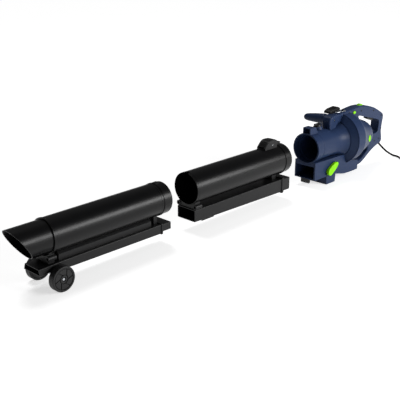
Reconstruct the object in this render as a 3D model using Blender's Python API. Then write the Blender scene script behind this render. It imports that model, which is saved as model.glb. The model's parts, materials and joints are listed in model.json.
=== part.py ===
# Corded leaf blower vacuum: a motor unit with its handle, a middle pipe section and a wheeled
# nozzle section, laid out on one line. Metres, +Z up, floor at z = 0, +X from nozzle to motor.
from math import cos, pi, radians, sin

import bmesh
import bpy
from mathutils import Matrix, Vector

# Clearances
GAP = 0.0003            # between pieces that touch
SOCKET_GAP = 0.0008     # round a spigot in its socket

# Layout: the three sections share one axis
AXIS_HEIGHT = 0.140
FOOT_BEHIND_MOUTH = 0.099
MID_OFF = 0.1695        # middle section's shoulder to the motor unit's mouth
NOZZLE_OFF = 0.128      # nozzle section's shoulder to the middle section's mouth

# Nozzle section, measured from its shoulder (s is negative towards the mouth)
NOZZLE_R = 0.0475
NOZZLE_LENGTH = 0.384
NOZZLE_SPIGOT = 0.027
TUBE_WALL = 0.0022
TIP_WALL = 0.0020
TIP_TOP = 0.107         # tip's reach past the tube, along the top
TIP_BOTTOM = 0.050      # and along the bottom
RAIL_N_HALF = 0.0323
RAIL_N_TOP = 0.068
RAIL_N_REAR = 0.0968    # depth of the blow tube's floor below the axis, at its rear
RAIL_N_FRONT = 0.0939
OUTLET_PAST_TUBE = 0.042   # flat outlet's reach past the tube's front end
AXLE_BACK = 0.0115          # axle behind the tube's front end
AXLE_R = 0.004
WHEEL_R = 0.035
WHEEL_WIDTH = 0.021
WHEEL_Y = 0.051
CLIP_WIDTH = 0.0025

# Middle section, measured from its mouth
MID_R = 0.0500
MID_LENGTH = 0.423
MID_SPIGOT = 0.027
RAIL_M_TOP = 0.0607
RAIL_M_FRONT = 0.0985
RAIL_M_REAR = 0.1065
RAIL_WALL = 0.0022
RAIL_SPIGOT = 0.0335
LATCH_BACK = 0.038          # latch pin in front of the shoulder
LATCH_Z = 0.059
LATCH_HALF = 0.0105

# Motor unit, measured from its mouth
COLLAR_WALL = 0.0025
COLLAR_LENGTH = 0.036
SOCKET_DEPTH = 0.032
TAIL_R = 0.0600          # spigot of the inlet tube in the fan cover
FLARE_R = 0.0655         # and the shoulder in front of it
FLARE_LENGTH = 0.053
HOUSING_U = 0.2003       # mouth to the drum's front
COVER_DEPTH = 0.0223
COVER_FRONT_R = 0.069
DRUM_R = 0.092
DRUM_WALL = 0.003
BAND_R = 0.0945
WEB_BACK = 0.0317        # bearing web behind the drum's front
WEB = 0.006
HANDLE_HALF = 0.018
HANDLE_WALL = 0.003
DUCT_HALF = 0.044
DUCT_WALL = 0.0025
DUCT_FLOOR = 0.109
FOOT_LENGTH = 0.0575
SHAFT_R = 0.004
BEARING_R = 0.011
CAN_R = 0.0385
CAN_LENGTH = 0.0977
MOTOR_DROP = 0.010       # the barrel's tail sits this far below the axis
CAN_WALL = 0.002
IMPELLER_R = 0.080
BLADES = 8
DIAL_R = 0.0165
DIAL_WIDTH = 0.013
BRUSH_HALF = 0.0075
BRUSH_TALL = 1.65
CORD_R = 0.0037

# Facets round a pipe and round the motor unit
SEGMENTS = 20
BODY_SEGMENTS = 24

# What one section passes on to the next
AXLE_S = NOZZLE_LENGTH - AXLE_BACK
OUTLET_S = NOZZLE_LENGTH + OUTLET_PAST_TUBE
LATCH_M = MID_LENGTH - LATCH_BACK
RAIL_LENGTH = MID_LENGTH
COVER_U = HOUSING_U - COVER_DEPTH
WEB_U = HOUSING_U + WEB_BACK
WEB_END = WEB_U + WEB
SPIGOT_N_R = NOZZLE_R - GAP
MID_SOCKET_R = SPIGOT_N_R + SOCKET_GAP
MID_BORE_R = MID_SOCKET_R - 0.0007
SPIGOT_M_R = MID_R - 0.0002
COLLAR_SOCKET_R = SPIGOT_M_R + SOCKET_GAP
COLLAR_R = COLLAR_SOCKET_R + COLLAR_WALL
RAIL_M_HALF = RAIL_N_HALF + 0.0045
MOUTH_HALF = RAIL_M_HALF + 0.0017
MOTOR_X = -FOOT_BEHIND_MOUTH
MID_X = MOTOR_X - MID_OFF - MID_LENGTH
NOZZLE_X = MID_X - NOZZLE_OFF
FLOOR = -AXIS_HEIGHT

BLACK = (0.030, 0.031, 0.033)
NAVY = (0.060, 0.078, 0.145)
LIME = (0.330, 0.720, 0.010)
STEEL = (0.560, 0.570, 0.580)
COPPER = (0.480, 0.190, 0.090)


for old in list(bpy.data.objects):
    bpy.data.objects.remove(old, do_unlink=True)


def section_frame(name, x):
    """An empty on the common axis, which carries one section's pieces."""
    empty = bpy.data.objects.new(name, None)
    empty.location = (x, 0, AXIS_HEIGHT)
    bpy.context.scene.collection.objects.link(empty)
    return empty


NOZZLE = section_frame("nozzle_frame", NOZZLE_X)
MID = section_frame("mid_frame", MID_X)
MOTOR = section_frame("motor_frame", MOTOR_X)


def finish_material(name, colour, roughness, metallic=0.0):
    material = bpy.data.materials.new(name)
    material.use_nodes = True
    shader = material.node_tree.nodes["Principled BSDF"]
    shader.inputs["Base Color"].default_value = (*colour, 1)
    shader.inputs["Roughness"].default_value = roughness
    shader.inputs["Metallic"].default_value = metallic
    return material


def solid(bm):
    """A temporary object of a closed bmesh, its faces turned outwards."""
    bmesh.ops.recalc_face_normals(bm, faces=bm.faces)
    mesh = bpy.data.meshes.new("solid")
    bm.to_mesh(mesh)
    bm.free()
    made = bpy.data.objects.new("solid", mesh)
    bpy.context.scene.collection.objects.link(made)
    return made


def turned(profile, segments=SEGMENTS, axis=(1, 0, 0), centre=(0, 0, 0), squash=1.0):
    """Turns a closed (along, radius) profile about an axis; squash narrows it across."""
    bm = bmesh.new()
    along = Vector(axis).normalized()
    side = along.cross(Vector((0, 1, 0)))
    side = along.cross(Vector((0, 0, 1))) if side.length < 0.5 else side
    side.normalize()
    across = along.cross(side)
    rings = []
    for position, radius in profile:
        base = Vector(centre) + along * position
        if radius == 0:
            rings.append([bm.verts.new(base)] * segments)
            continue
        ring = []
        for i in range(segments):
            angle = 2 * pi * i / segments
            ring.append(bm.verts.new(base + radius * (cos(angle) * side + squash * sin(angle) * across)))
        rings.append(ring)
    for first, second in zip(rings, rings[1:] + rings[:1]):
        for i in range(segments):
            j = (i + 1) % segments
            corners = []
            for vert in (first[i], first[j], second[j], second[i]):
                if vert not in corners:
                    corners.append(vert)
            if len(corners) > 2:
                bm.faces.new(corners)
    return solid(bm)


def loft(sections):
    """Joins sections of equally many points, in order, and closes both ends."""
    bm = bmesh.new()
    rings = [[bm.verts.new(point) for point in section] for section in sections]
    count = len(rings[0])
    for first, second in zip(rings, rings[1:]):
        for i in range(count):
            j = (i + 1) % count
            bm.faces.new((first[i], first[j], second[j], second[i]))
    bm.faces.new(rings[0])
    bm.faces.new(rings[-1])
    return solid(bm)


def slab(outline, low, high, plane="XZ", rounding=0.0):
    """Extrudes an outline square to its plane, with the rim edges rounded if asked."""
    def point(a, b, level):
        return {"XZ": (a, level, b), "YZ": (level, a, b), "XY": (a, b, level)}[plane]
    made = loft([[point(a, b, level) for a, b in outline] for level in (low, high)])
    if rounding:
        bm = bmesh.new()
        bm.from_mesh(made.data)
        caps = sorted(bm.faces, key=lambda face: len(face.verts))[-2:]
        rim = [edge for cap in caps for edge in cap.edges]
        bmesh.ops.bevel(bm, geom=rim, offset=rounding, segments=1, affect="EDGES")
        bmesh.ops.recalc_face_normals(bm, faces=bm.faces)
        bm.to_mesh(made.data)
        bm.free()
    return made


def box(x, y, z):
    return slab([(x[0], z[0]), (x[1], z[0]), (x[1], z[1]), (x[0], z[1])], y[0], y[1])


def rod(start, end, radius, segments=16, end_radius=None):
    """A round bar between two points, tapered where an end radius is given."""
    start, end = Vector(start), Vector(end)
    length = (end - start).length
    tip = radius if end_radius is None else end_radius
    profile = [(0, 0), (0, radius), (length, tip), (length, 0)]
    return turned(profile, segments, end - start, start)


def combine(target, tools, operation):
    for tool in tools:
        modifier = target.modifiers.new("cut", "BOOLEAN")
        modifier.operation = operation
        modifier.solver = "EXACT"
        modifier.object = tool
        bpy.context.view_layer.update()
        depsgraph = bpy.context.evaluated_depsgraph_get()
        result = bpy.data.meshes.new_from_object(target.evaluated_get(depsgraph))
        target.modifiers.clear()
        target.data = result
        bpy.data.objects.remove(tool, do_unlink=True)
    return target


def add(target, *tools):
    return combine(target, tools, "UNION")


def cut(target, *tools):
    return combine(target, tools, "DIFFERENCE")


def copy(source):
    twin = bpy.data.objects.new("solid", source.data.copy())
    bpy.context.scene.collection.objects.link(twin)
    return twin


def piece(name, made, frame, colour, roughness=0.45, metallic=0.0, pivot=(0, 0, 0)):
    """Names a finished piece, gives it its material and puts its origin at its pivot."""
    made.name = name
    made.data.name = name
    made.data.transform(Matrix.Translation(-Vector(pivot)))
    made.location = Vector(pivot)
    made.parent = frame
    made.data.materials.clear()
    made.data.materials.append(finish_material(name, colour, roughness, metallic))
    made.data.shade_smooth()
    made.data.set_sharp_from_angle(angle=radians(32))
    return made


def smooth_outline(points, steps=3):
    """A closed Catmull-Rom curve through the points."""
    curve = []
    count = len(points)
    for i in range(count):
        p0, p1, p2, p3 = (Vector(points[(i + k) % count]) for k in (-1, 0, 1, 2))
        for step in range(steps):
            t = step / steps
            curve.append(tuple(0.5 * (2 * p1 + (p2 - p0) * t + (2 * p0 - 5 * p1 + 4 * p2 - p3) * t * t
                                      + (3 * p1 - p0 - 3 * p2 + p3) * t ** 3)))
    return curve


def inset(outline, distance):
    """The outline moved inwards by a distance, or outwards where it is negative."""
    area = sum(a[0] * b[1] - b[0] * a[1] for a, b in zip(outline, outline[1:] + outline[:1]))
    turn = 1 if area > 0 else -1
    moved = []
    for i, here in enumerate(outline):
        before, after = Vector(outline[i - 1]), Vector(outline[(i + 1) % len(outline)])
        one = (Vector(here) - before).normalized()
        two = (after - Vector(here)).normalized()
        normal = Vector((-one.y - two.y, one.x + two.x)).normalized()
        reach = distance / max(0.5, normal.dot(Vector((-one.y, one.x))))
        moved.append(tuple(Vector(here) + turn * reach * normal))
    return moved


def cylinder_cut(radius, start, end, segments=SEGMENTS):
    return turned([(start, 0), (start, radius), (end, radius), (end, 0)], segments)


def rect(x, half_top, half_bottom, top, bottom):
    """A cross-section of a blow tube; top and bottom are depths below the axis."""
    return [(x, -half_top, -top), (x, half_top, -top), (x, half_bottom, -bottom), (x, -half_bottom, -bottom)]


# NOZZLE SECTION
# The suction tube has a spigot with a key for the middle section's mouth and a bead at each end.
tip_r = NOZZLE_R - TUBE_WALL - GAP
nozzle_end = -NOZZLE_LENGTH
bead = 0.0015
tube = turned([
    (NOZZLE_SPIGOT, SPIGOT_N_R - 0.0008), (NOZZLE_SPIGOT - 0.002, SPIGOT_N_R), (0, SPIGOT_N_R),
    (0, NOZZLE_R + bead), (-0.005, NOZZLE_R + bead), (-0.005, NOZZLE_R),
    (nozzle_end + 0.006, NOZZLE_R), (nozzle_end + 0.006, NOZZLE_R + bead),
    (nozzle_end, NOZZLE_R + bead), (nozzle_end, NOZZLE_R - TUBE_WALL),
    (NOZZLE_SPIGOT, NOZZLE_R - TUBE_WALL)])
key_half = 0.0075
key_length = 0.013
key_top = MID_R - GAP
add(tube, box((-0.001, key_length), (-key_half, key_half), (SPIGOT_N_R - 0.001, key_top)),
    box((nozzle_end, nozzle_end + 0.006), (-0.006, 0.006), (NOZZLE_R, NOZZLE_R + 0.006)))
piece("nozzle_tube", tube, NOZZLE, BLACK, 0.35)

# The tip is a thinner tube with a slanted mouth, its tail held inside the suction tube.
tail = 0.015
tip = turned([(nozzle_end + tail, tip_r), (nozzle_end - TIP_TOP, tip_r),
              (nozzle_end - TIP_TOP, tip_r - TIP_WALL), (nozzle_end + tail, tip_r - TIP_WALL)])
lean = (TIP_TOP - TIP_BOTTOM) / (2 * tip_r)
middle = nozzle_end - (TIP_TOP + TIP_BOTTOM) / 2
reach = 0.08
cut(tip, slab([(middle - lean * reach, reach), (middle + lean * reach, -reach),
               (nozzle_end - 0.3, -reach), (nozzle_end - 0.3, reach)], -reach, reach))
piece("nozzle_tip", tip, NOZZLE, BLACK, 0.35)

# The blow tube runs under the suction tube and opens in a flat, flared outlet over the axle.
flange_n = 0.0020
spigot_half = RAIL_N_HALF - 0.0018
blow = loft([
    rect(-0.001, RAIL_N_HALF, RAIL_N_HALF, RAIL_N_TOP, RAIL_N_REAR),
    rect(-AXLE_S + 0.052, RAIL_N_HALF, RAIL_N_HALF, RAIL_N_TOP, RAIL_N_FRONT),
    rect(-AXLE_S, RAIL_N_HALF, RAIL_N_HALF, RAIL_N_TOP + 0.001, RAIL_N_FRONT - 0.005),
    rect(-OUTLET_S, RAIL_N_HALF - 0.0013, RAIL_N_HALF + 0.0032, RAIL_N_TOP + 0.0027, RAIL_N_FRONT - 0.0054)])
fairing_half = 0.0227
fairing_top = NOZZLE_R - 0.001
fairing = slab([(-fairing_half, -RAIL_N_TOP - 0.001), (fairing_half, -RAIL_N_TOP - 0.001),
                (fairing_half, -0.0524), (0.0155, -fairing_top), (-0.0155, -fairing_top),
                (-fairing_half, -0.0524)],
               nozzle_end + 0.026, -0.036, "YZ")
cut(fairing, cylinder_cut(NOZZLE_R + GAP, -0.5, 0.1))
flange = box((-0.006, -0.001), (-RAIL_N_HALF - flange_n, RAIL_N_HALF + flange_n),
             (-RAIL_N_REAR - flange_n, -RAIL_N_TOP + flange_n))
spigot = box((-0.002, RAIL_SPIGOT), (-spigot_half, spigot_half),
             (-RAIL_N_REAR + 0.0043, -RAIL_N_TOP - 0.002))
add(blow, fairing, flange, spigot)
inner_half = RAIL_N_HALF - RAIL_WALL
hollow = loft([
    rect(RAIL_SPIGOT + 0.01, spigot_half - RAIL_WALL, spigot_half - RAIL_WALL,
         RAIL_N_TOP + 0.002 + RAIL_WALL, RAIL_N_REAR - 0.0043 - RAIL_WALL),
    rect(-0.001, spigot_half - RAIL_WALL, spigot_half - RAIL_WALL,
         RAIL_N_TOP + 0.002 + RAIL_WALL, RAIL_N_REAR - 0.0043 - RAIL_WALL),
    rect(-0.012, inner_half, inner_half, RAIL_N_TOP + RAIL_WALL, RAIL_N_REAR - RAIL_WALL),
    rect(-AXLE_S + 0.052, inner_half, inner_half, RAIL_N_TOP + RAIL_WALL, RAIL_N_FRONT - RAIL_WALL),
    rect(-AXLE_S, inner_half, inner_half, RAIL_N_TOP + 0.001 + RAIL_WALL, RAIL_N_FRONT - 0.005 - RAIL_WALL),
    rect(-OUTLET_S - 0.01, RAIL_N_HALF - 0.0013 - RAIL_WALL, RAIL_N_HALF + 0.0038 - RAIL_WALL,
         RAIL_N_TOP + 0.0030 + RAIL_WALL, RAIL_N_FRONT - 0.0055 - RAIL_WALL)])
bulge = box((nozzle_end + 0.029, -0.039), (-0.0195, 0.0195), (-RAIL_N_TOP - 0.006, -0.0535))
cut(blow, hollow, bulge)
axle_z = FLOOR + WHEEL_R
lug_low = axle_z - AXLE_R - 0.0015
for side in (-1, 1):
    lug_y = side * 0.0265
    lug = slab([(-AXLE_S - 0.010, -RAIL_N_FRONT + 0.0056), (-AXLE_S + 0.010, -RAIL_N_FRONT + 0.0050),
                (-AXLE_S + 0.006, lug_low), (-AXLE_S - 0.006, lug_low)], lug_y - 0.0025, lug_y + 0.0025)
    add(blow, lug)
cut(blow, rod((-AXLE_S, -0.05, axle_z), (-AXLE_S, 0.05, axle_z), AXLE_R + GAP))
piece("nozzle_blow_tube", blow, NOZZLE, BLACK, 0.5)

# Two brackets hold the blow tube to the suction tube, the front one with two screw bosses.
boss_y = 0.027
boss_z = -0.0525
boss_r = 0.0075
front = box((nozzle_end - 0.010, nozzle_end + 0.010), (-boss_y, boss_y), (-RAIL_N_TOP + GAP, -0.034))
add(front, *[rod((nozzle_end - 0.0125, y, boss_z), (nozzle_end + 0.0125, y, boss_z),
                 boss_r) for y in (-boss_y, boss_y)])
cut(front, cylinder_cut(NOZZLE_R + bead + GAP, -0.6, 0.1),
    *[rod((nozzle_end - 0.0135, y, boss_z), (nozzle_end - 0.0065, y, boss_z),
          0.0042) for y in (-boss_y, boss_y)])
piece("nozzle_front_bracket", front, NOZZLE, BLACK, 0.5)
rear = box((-0.022, -0.009), (-0.018, 0.018), (-RAIL_N_TOP + GAP, -0.040))
cut(rear, cylinder_cut(NOZZLE_R + GAP, -0.1, 0.1))
piece("nozzle_rear_bracket", rear, NOZZLE, BLACK, 0.5)

# Wheels turn on the axle's ends, each kept from sliding inwards by a clip.
wheel_in = WHEEL_Y - WHEEL_WIDTH / 2
wheel_out = WHEEL_Y + WHEEL_WIDTH / 2
axle = rod((-AXLE_S, -wheel_out + 0.002, axle_z), (-AXLE_S, wheel_out - 0.002, axle_z), AXLE_R)
piece("axle", axle, NOZZLE, STEEL, 0.35, 1.0)
for side, label in ((-1, "near"), (1, "far")):
    centre = (-AXLE_S, 0, axle_z)
    facing = (0, side, 0)
    bore = AXLE_R + GAP
    wheel = turned([(wheel_in, bore), (wheel_in, 0.011), (wheel_in + 0.003, 0.013),
                    (wheel_in + 0.003, WHEEL_R - 0.006), (wheel_in, WHEEL_R - 0.004),
                    (wheel_in + 0.0015, WHEEL_R), (wheel_out - 0.0015, WHEEL_R),
                    (wheel_out, WHEEL_R - 0.002), (wheel_out, WHEEL_R - 0.006),
                    (wheel_out - 0.0025, 0.012), (wheel_out - 0.0010, 0.011),
                    (wheel_out - 0.0010, 0.0062), (wheel_out - 0.004, 0.0062),
                    (wheel_out - 0.004, bore)], 20, facing, centre)
    for spoke in range(6):
        angle = 2 * pi * spoke / 6 + 0.3
        start = Vector((cos(angle), 0, sin(angle))) * 0.0135
        end = Vector((cos(angle + 0.35), 0, sin(angle + 0.35))) * (WHEEL_R - 0.0065)
        lift = Vector((-AXLE_S, side * (wheel_out - 0.0008), axle_z))
        cut(wheel, rod(start + lift, end + lift, 0.0015, 4))
    piece("wheel_" + label, wheel, NOZZLE, BLACK, 0.55, pivot=(-AXLE_S, side * WHEEL_Y, axle_z))
    clip = turned([(wheel_in - GAP - CLIP_WIDTH, bore), (wheel_in - GAP - CLIP_WIDTH, 0.0085),
                   (wheel_in - GAP, 0.0085),
                   (wheel_in - GAP, bore)], 20, facing, centre)
    piece("axle_clip_" + label, clip, NOZZLE, STEEL, 0.35, 1.0)

# MIDDLE SECTION
# The suction tube: a socket with a key slot in front, a bead and a spigot behind.
shoulder = MID_LENGTH
tube = turned([
    (0, MID_SOCKET_R), (0, MID_R - 0.0006), (0.0006, MID_R), (shoulder - 0.005, MID_R),
    (shoulder - 0.005, MID_R + 0.0018), (shoulder, MID_R + 0.0018), (shoulder, SPIGOT_M_R),
    (shoulder + MID_SPIGOT - 0.002, SPIGOT_M_R), (shoulder + MID_SPIGOT, SPIGOT_M_R - 0.0008),
    (shoulder + MID_SPIGOT, MID_BORE_R), (NOZZLE_SPIGOT + 0.003, MID_BORE_R),
    (NOZZLE_SPIGOT + 0.003, MID_SOCKET_R)])
cut(tube, box((-0.001, key_length + 0.0015), (-key_half - 0.001, key_half + 0.001), (0.040, 0.060)))
piece("mid_tube", tube, MID, BLACK, 0.35)

# The blow tube deepens towards the motor and ends in a flange and a spigot.
flange_m = 0.0022
m_spigot_half = RAIL_M_HALF + 0.0002
m_spigot_top = RAIL_M_TOP + 0.0018
m_spigot_low = RAIL_M_REAR - 0.0015
blow = loft([rect(0, RAIL_M_HALF, RAIL_M_HALF, RAIL_M_TOP, RAIL_M_FRONT),
             rect(RAIL_LENGTH - 0.004, RAIL_M_HALF, RAIL_M_HALF, RAIL_M_TOP, RAIL_M_REAR)])
add(blow,
    box((RAIL_LENGTH - 0.008, RAIL_LENGTH), (-RAIL_M_HALF - flange_m, RAIL_M_HALF + flange_m),
        (-RAIL_M_REAR - 0.004, -RAIL_M_TOP + 0.0042)),
    box((RAIL_LENGTH - 0.001, RAIL_LENGTH + RAIL_SPIGOT), (-m_spigot_half, m_spigot_half),
        (-m_spigot_low, -m_spigot_top)))
m_inner = RAIL_M_HALF - RAIL_WALL
cut(blow, loft([
    rect(-0.01, m_inner, m_inner, RAIL_M_TOP + RAIL_WALL, RAIL_M_FRONT - RAIL_WALL),
    rect(RAIL_LENGTH - 0.012, m_inner, m_inner, RAIL_M_TOP + RAIL_WALL, RAIL_M_REAR - RAIL_WALL - 0.0001),
    rect(RAIL_LENGTH - 0.002, m_inner, m_inner, m_spigot_top + RAIL_WALL, m_spigot_low - RAIL_WALL),
    rect(RAIL_LENGTH + RAIL_SPIGOT + 0.01, m_inner, m_inner, m_spigot_top + RAIL_WALL,
         m_spigot_low - RAIL_WALL)]))
piece("mid_blow_tube", blow, MID, BLACK, 0.5)

boss_y = 0.034
boss_r = 0.0080
front = box((0.004, 0.024), (-boss_y, boss_y), (-RAIL_M_TOP + GAP, -0.034))
add(front, *[rod((0.0015, y, boss_z), (0.0265, y, boss_z), boss_r - GAP) for y in (-boss_y, boss_y)])
cut(front, cylinder_cut(MID_R + GAP, -0.1, 0.5),
    *[rod((0.0005, y, boss_z), (0.0085, y, boss_z), 0.0046) for y in (-boss_y, boss_y)])
piece("mid_front_bracket", front, MID, BLACK, 0.5)
rear = box((shoulder - 0.038, shoulder - 0.018), (-0.018, 0.018), (-RAIL_M_TOP + GAP, -0.040))
cut(rear, cylinder_cut(MID_R + GAP, 0, shoulder))
piece("mid_rear_bracket", rear, MID, BLACK, 0.5)


def mid_floor(m):
    """Depth of the blow tube's underside at a distance from the mouth."""
    return RAIL_M_FRONT + (RAIL_M_REAR - RAIL_M_FRONT) * m / (RAIL_LENGTH - 0.004)


# Two short feet under the blow tube.
for label, start, end, slope, depth in (("front", 0.031, 0.100, 0.012, 0.0080),
                                        ("rear", shoulder - 0.058, shoulder - 0.031, 0.006, 0.0048)):
    low = -mid_floor(end) - depth
    outline = [(start, -mid_floor(start) - GAP), (end, -mid_floor(end) - GAP),
               (end - slope / 2, low), (start + slope, low)]
    piece("mid_%s_foot" % label, slab(outline, -0.026, 0.026, rounding=0.0015), MID, BLACK, 0.6)

# The latch on top: a wedge-shaped base with two cheeks, a cross pin and a lever that rocks on it.
cheek_in = LATCH_HALF + 0.0005
cheek_out = 0.0175
hump = [(-0.039, 0.0460), (-0.039, 0.0535), (-0.019, 0.0725), (-0.007, 0.0755), (0.018, 0.0742),
        (0.0225, 0.0660),
        (0.0215, 0.0460)]
base = slab([(LATCH_M + a, min(b, 0.0510)) for a, b in hump], -cheek_out, cheek_out)
for side in (-1, 1):
    low, high = sorted((side * cheek_in, side * cheek_out))
    add(base, slab([(LATCH_M + a, b) for a, b in hump], low, high, rounding=0.001))
pin_r = 0.0020
latch_pin_ends = [(LATCH_M, side * cheek_out, LATCH_Z) for side in (-1, 1)]
cut(base, cylinder_cut(MID_R + GAP, 0, shoulder), rod(*latch_pin_ends, pin_r + GAP))
piece("latch_base", base, MID, BLACK, 0.5)
piece("latch_pin", rod(*latch_pin_ends, pin_r), MID, STEEL, 0.35, 1.0)
lever = slab([(LATCH_M + a, b) for a, b in (
    (-0.0350, 0.0560), (-0.0350, 0.0585), (-0.019, 0.0730), (-0.007, 0.0760), (0.018, 0.0746),
    (0.0225, 0.0690))]
    + [(shoulder + 0.002, 0.0625), (shoulder + 0.010, 0.0615), (shoulder + 0.010, 0.0570),
       (shoulder + 0.002, 0.0558), (LATCH_M + 0.015, 0.0562), (LATCH_M, 0.0556), (LATCH_M - 0.013, 0.0562)],
    -LATCH_HALF, LATCH_HALF)
cut(lever, rod(*latch_pin_ends, pin_r + GAP))
for rib in range(4):
    at = LATCH_M - 0.0300 + 0.0040 * rib
    cut(lever, box((at, at + 0.0016), (-LATCH_HALF + 0.002, LATCH_HALF - 0.002),
                   (0.0620 + 0.0036 * rib, 0.09)))
piece("latch_lever", lever, MID, BLACK, 0.45, pivot=(LATCH_M, 0, LATCH_Z))

# MOTOR UNIT
# The inlet tube: a beaded collar with a socket and a hood for the latch, then a pipe that flares
# into the fan cover. Its wall is even, so the air's way widens to the fan's eye.
flare_start = COVER_U - FLARE_LENGTH
flare = [(flare_start, COLLAR_R - 0.0024), (COVER_U - 0.032, 0.0528), (COVER_U - 0.018, 0.0565),
         (COVER_U - 0.007, 0.0615), (COVER_U - GAP, FLARE_R)]
pipe_wall = 0.003
hood_half = 0.016
hood_front = 0.030
inlet = turned([
    (0, COLLAR_SOCKET_R), (0, COLLAR_R + 0.0017), (0.0010, COLLAR_R + 0.0025),
    (0.0040, COLLAR_R + 0.0025), (0.0050, COLLAR_R), (COLLAR_LENGTH, COLLAR_R),
    (COLLAR_LENGTH + 0.001, COLLAR_R - 0.0019), (COLLAR_LENGTH + 0.004, COLLAR_R - 0.0019),
    (COLLAR_LENGTH + 0.005, COLLAR_R - 0.0011)] + flare
    + [(COVER_U - GAP, TAIL_R), (HOUSING_U - 0.0103, TAIL_R), (HOUSING_U - 0.0103, TAIL_R - pipe_wall),
       (COVER_U - 0.008, FLARE_R - 0.0085)] + [(u, r - pipe_wall) for u, r in reversed(flare[:3])]
    + [(SOCKET_DEPTH + 0.003, 0.0465), (SOCKET_DEPTH + 0.002, 0.0470), (SOCKET_DEPTH, 0.0470),
       (SOCKET_DEPTH, COLLAR_SOCKET_R)], BODY_SEGMENTS)
hood = slab([(0, COLLAR_R - 0.002), (0, 0.0725), (0.002, 0.0742), (hood_front, 0.0742), (0.036, 0.066),
             (0.044, 0.0560), (0.044, COLLAR_R - 0.0025)], -hood_half, hood_half, rounding=0.0025)
cut(hood, cylinder_cut(COLLAR_R - 0.0015, -0.01, 0.06, BODY_SEGMENTS))
add(inlet, hood)
pocket_low = COLLAR_R + 0.0009
cut(inlet, box((-0.001, 0.020), (-LATCH_HALF - 0.002, LATCH_HALF + 0.002), (pocket_low, 0.0717)))
piece("inlet_tube", inlet, MOTOR, NAVY, 0.38)

# The fan cover: a shallow cone with a rim band, notched for the blow duct and the handle's root.
cone_end = HOUSING_U - 0.0083
cover = turned([
    (COVER_U, TAIL_R + GAP), (COVER_U, COVER_FRONT_R), (cone_end, DRUM_R), (cone_end, BAND_R),
    (HOUSING_U - GAP, BAND_R), (HOUSING_U - GAP, DRUM_R - DRUM_WALL), (cone_end, DRUM_R - DRUM_WALL),
    (COVER_U + 0.0034, COVER_FRONT_R - 0.0010), (COVER_U + 0.0034, TAIL_R + GAP)], BODY_SEGMENTS)
raised_end = HOUSING_U - 0.0093
arch_low = 0.0640
cut(cover,
    box((COVER_U - 0.01, raised_end + GAP), (-DUCT_HALF - GAP, DUCT_HALF + GAP), (-0.12, -0.0492)),
    box((COVER_U - 0.01, HOUSING_U + 0.01), (-HANDLE_HALF - GAP, HANDLE_HALF + GAP), (arch_low - GAP, 0.12)))
piece("fan_cover", cover, MOTOR, NAVY, 0.42)


def from_drum(points):
    """Points given behind the drum's front, as distances from the mouth."""
    return [(HOUSING_U + along, height) for along, height in points]


def ring(u, radius, drop):
    """A circle of points round the motor's axis, let down by a drop."""
    turns = [2 * pi * i / BODY_SEGMENTS for i in range(BODY_SEGMENTS)]
    return [(u, radius * cos(a), radius * sin(a) - drop) for a in turns]


# The housing: a fan drum and a motor barrel whose tail drops a little below the axis, joined to
# an arched handle that returns under the barrel to the duct. It is split along the middle.
barrel = [(0.0347, DRUM_R, 0), (0.0427, 0.0888, 0), (0.0617, 0.0800, 0.003), (0.0797, 0.0737, 0.007),
          (0.1097, 0.0640, MOTOR_DROP), (0.1397, 0.0540, MOTOR_DROP), (0.1557, 0.0470, MOTOR_DROP),
          (0.1677, 0.0380, MOTOR_DROP), (0.1757, 0.0270, MOTOR_DROP), (0.1797, 0.0150, MOTOR_DROP)]


def barrel_skin(inward, front):
    """The drum and barrel, drawn in by a wall and starting at a distance from the mouth."""
    rings = [ring(HOUSING_U + at, radius - inward, drop) for at, radius, drop in barrel]
    return loft([ring(front, DRUM_R - inward, 0)] + rings)


shell = barrel_skin(0, HOUSING_U)
arch = smooth_outline(from_drum([
    (-0.0883, 0.0760), (-0.0833, 0.0900), (-0.0673, 0.0965), (-0.0403, 0.0975), (-0.0228, 0.0965),
    (0.0122, 0.0985), (0.0532, 0.1025), (0.0947, 0.1045), (0.1397, 0.1000), (0.1777, 0.0905),
    (0.2107, 0.0790), (0.2467, 0.0610), (0.2677, 0.0480), (0.2722, 0.0360), (0.2672, 0.0060),
    (0.2647, -0.0180), (0.2707, -0.0460), (0.2702, -0.0600), (0.2617, -0.0680), (0.2447, -0.0720),
    (0.2197, -0.0800), (0.1897, -0.0930), (0.1547, -0.1130), (0.1297, -0.1235), (0.0997, -0.1262),
    (0.0600, -0.1262), (0.0600, -0.1080), (0.0997, -0.1090), (0.1297, -0.1060), (0.1497, -0.0960),
    (0.1697, -0.0840), (0.1747, -0.0700), (0.1597, -0.0500), (0.0997, -0.0100), (0.0397, 0.0400),
    (0.0147, 0.0725), (-0.0003, 0.0712), (-0.0153, 0.0680), (-0.0255, 0.0645), (-0.0403, 0.0590),
    (-0.0483, 0.0520), (-0.0503, 0.0440), (-0.0603, 0.0420), (-0.0753, 0.0420), (-0.0833, 0.0460),
    (-0.0863, 0.0600)]), 1)
window = smooth_outline(from_drum([
    (0.0957, 0.0680), (0.1397, 0.0575), (0.1807, 0.0465), (0.2157, 0.0365), (0.2357, 0.0285),
    (0.2417, 0.0180), (0.2397, -0.0040), (0.2347, -0.0170), (0.2097, -0.0220), (0.1797, -0.0180),
    (0.1497, 0.0000), (0.1097, 0.0450)]), 1)
duct_end = HOUSING_U + 0.0680
handle = slab(arch, -HANDLE_HALF, HANDLE_HALF, rounding=0.0055)
tube_room = turned([(0.05, 0), (0.05, COLLAR_R - 0.0011 + GAP)]
                   + [(u, r + 0.0010) for u, r in flare] + [(COVER_U, FLARE_R + 0.001), (COVER_U, 0)],
                   BODY_SEGMENTS)
cut(handle, slab(window, -0.05, 0.05), tube_room,
    box((HOUSING_U + 0.05, duct_end + GAP), (-0.05, 0.05), (-0.14, -0.095)))
add(shell, handle)
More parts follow.
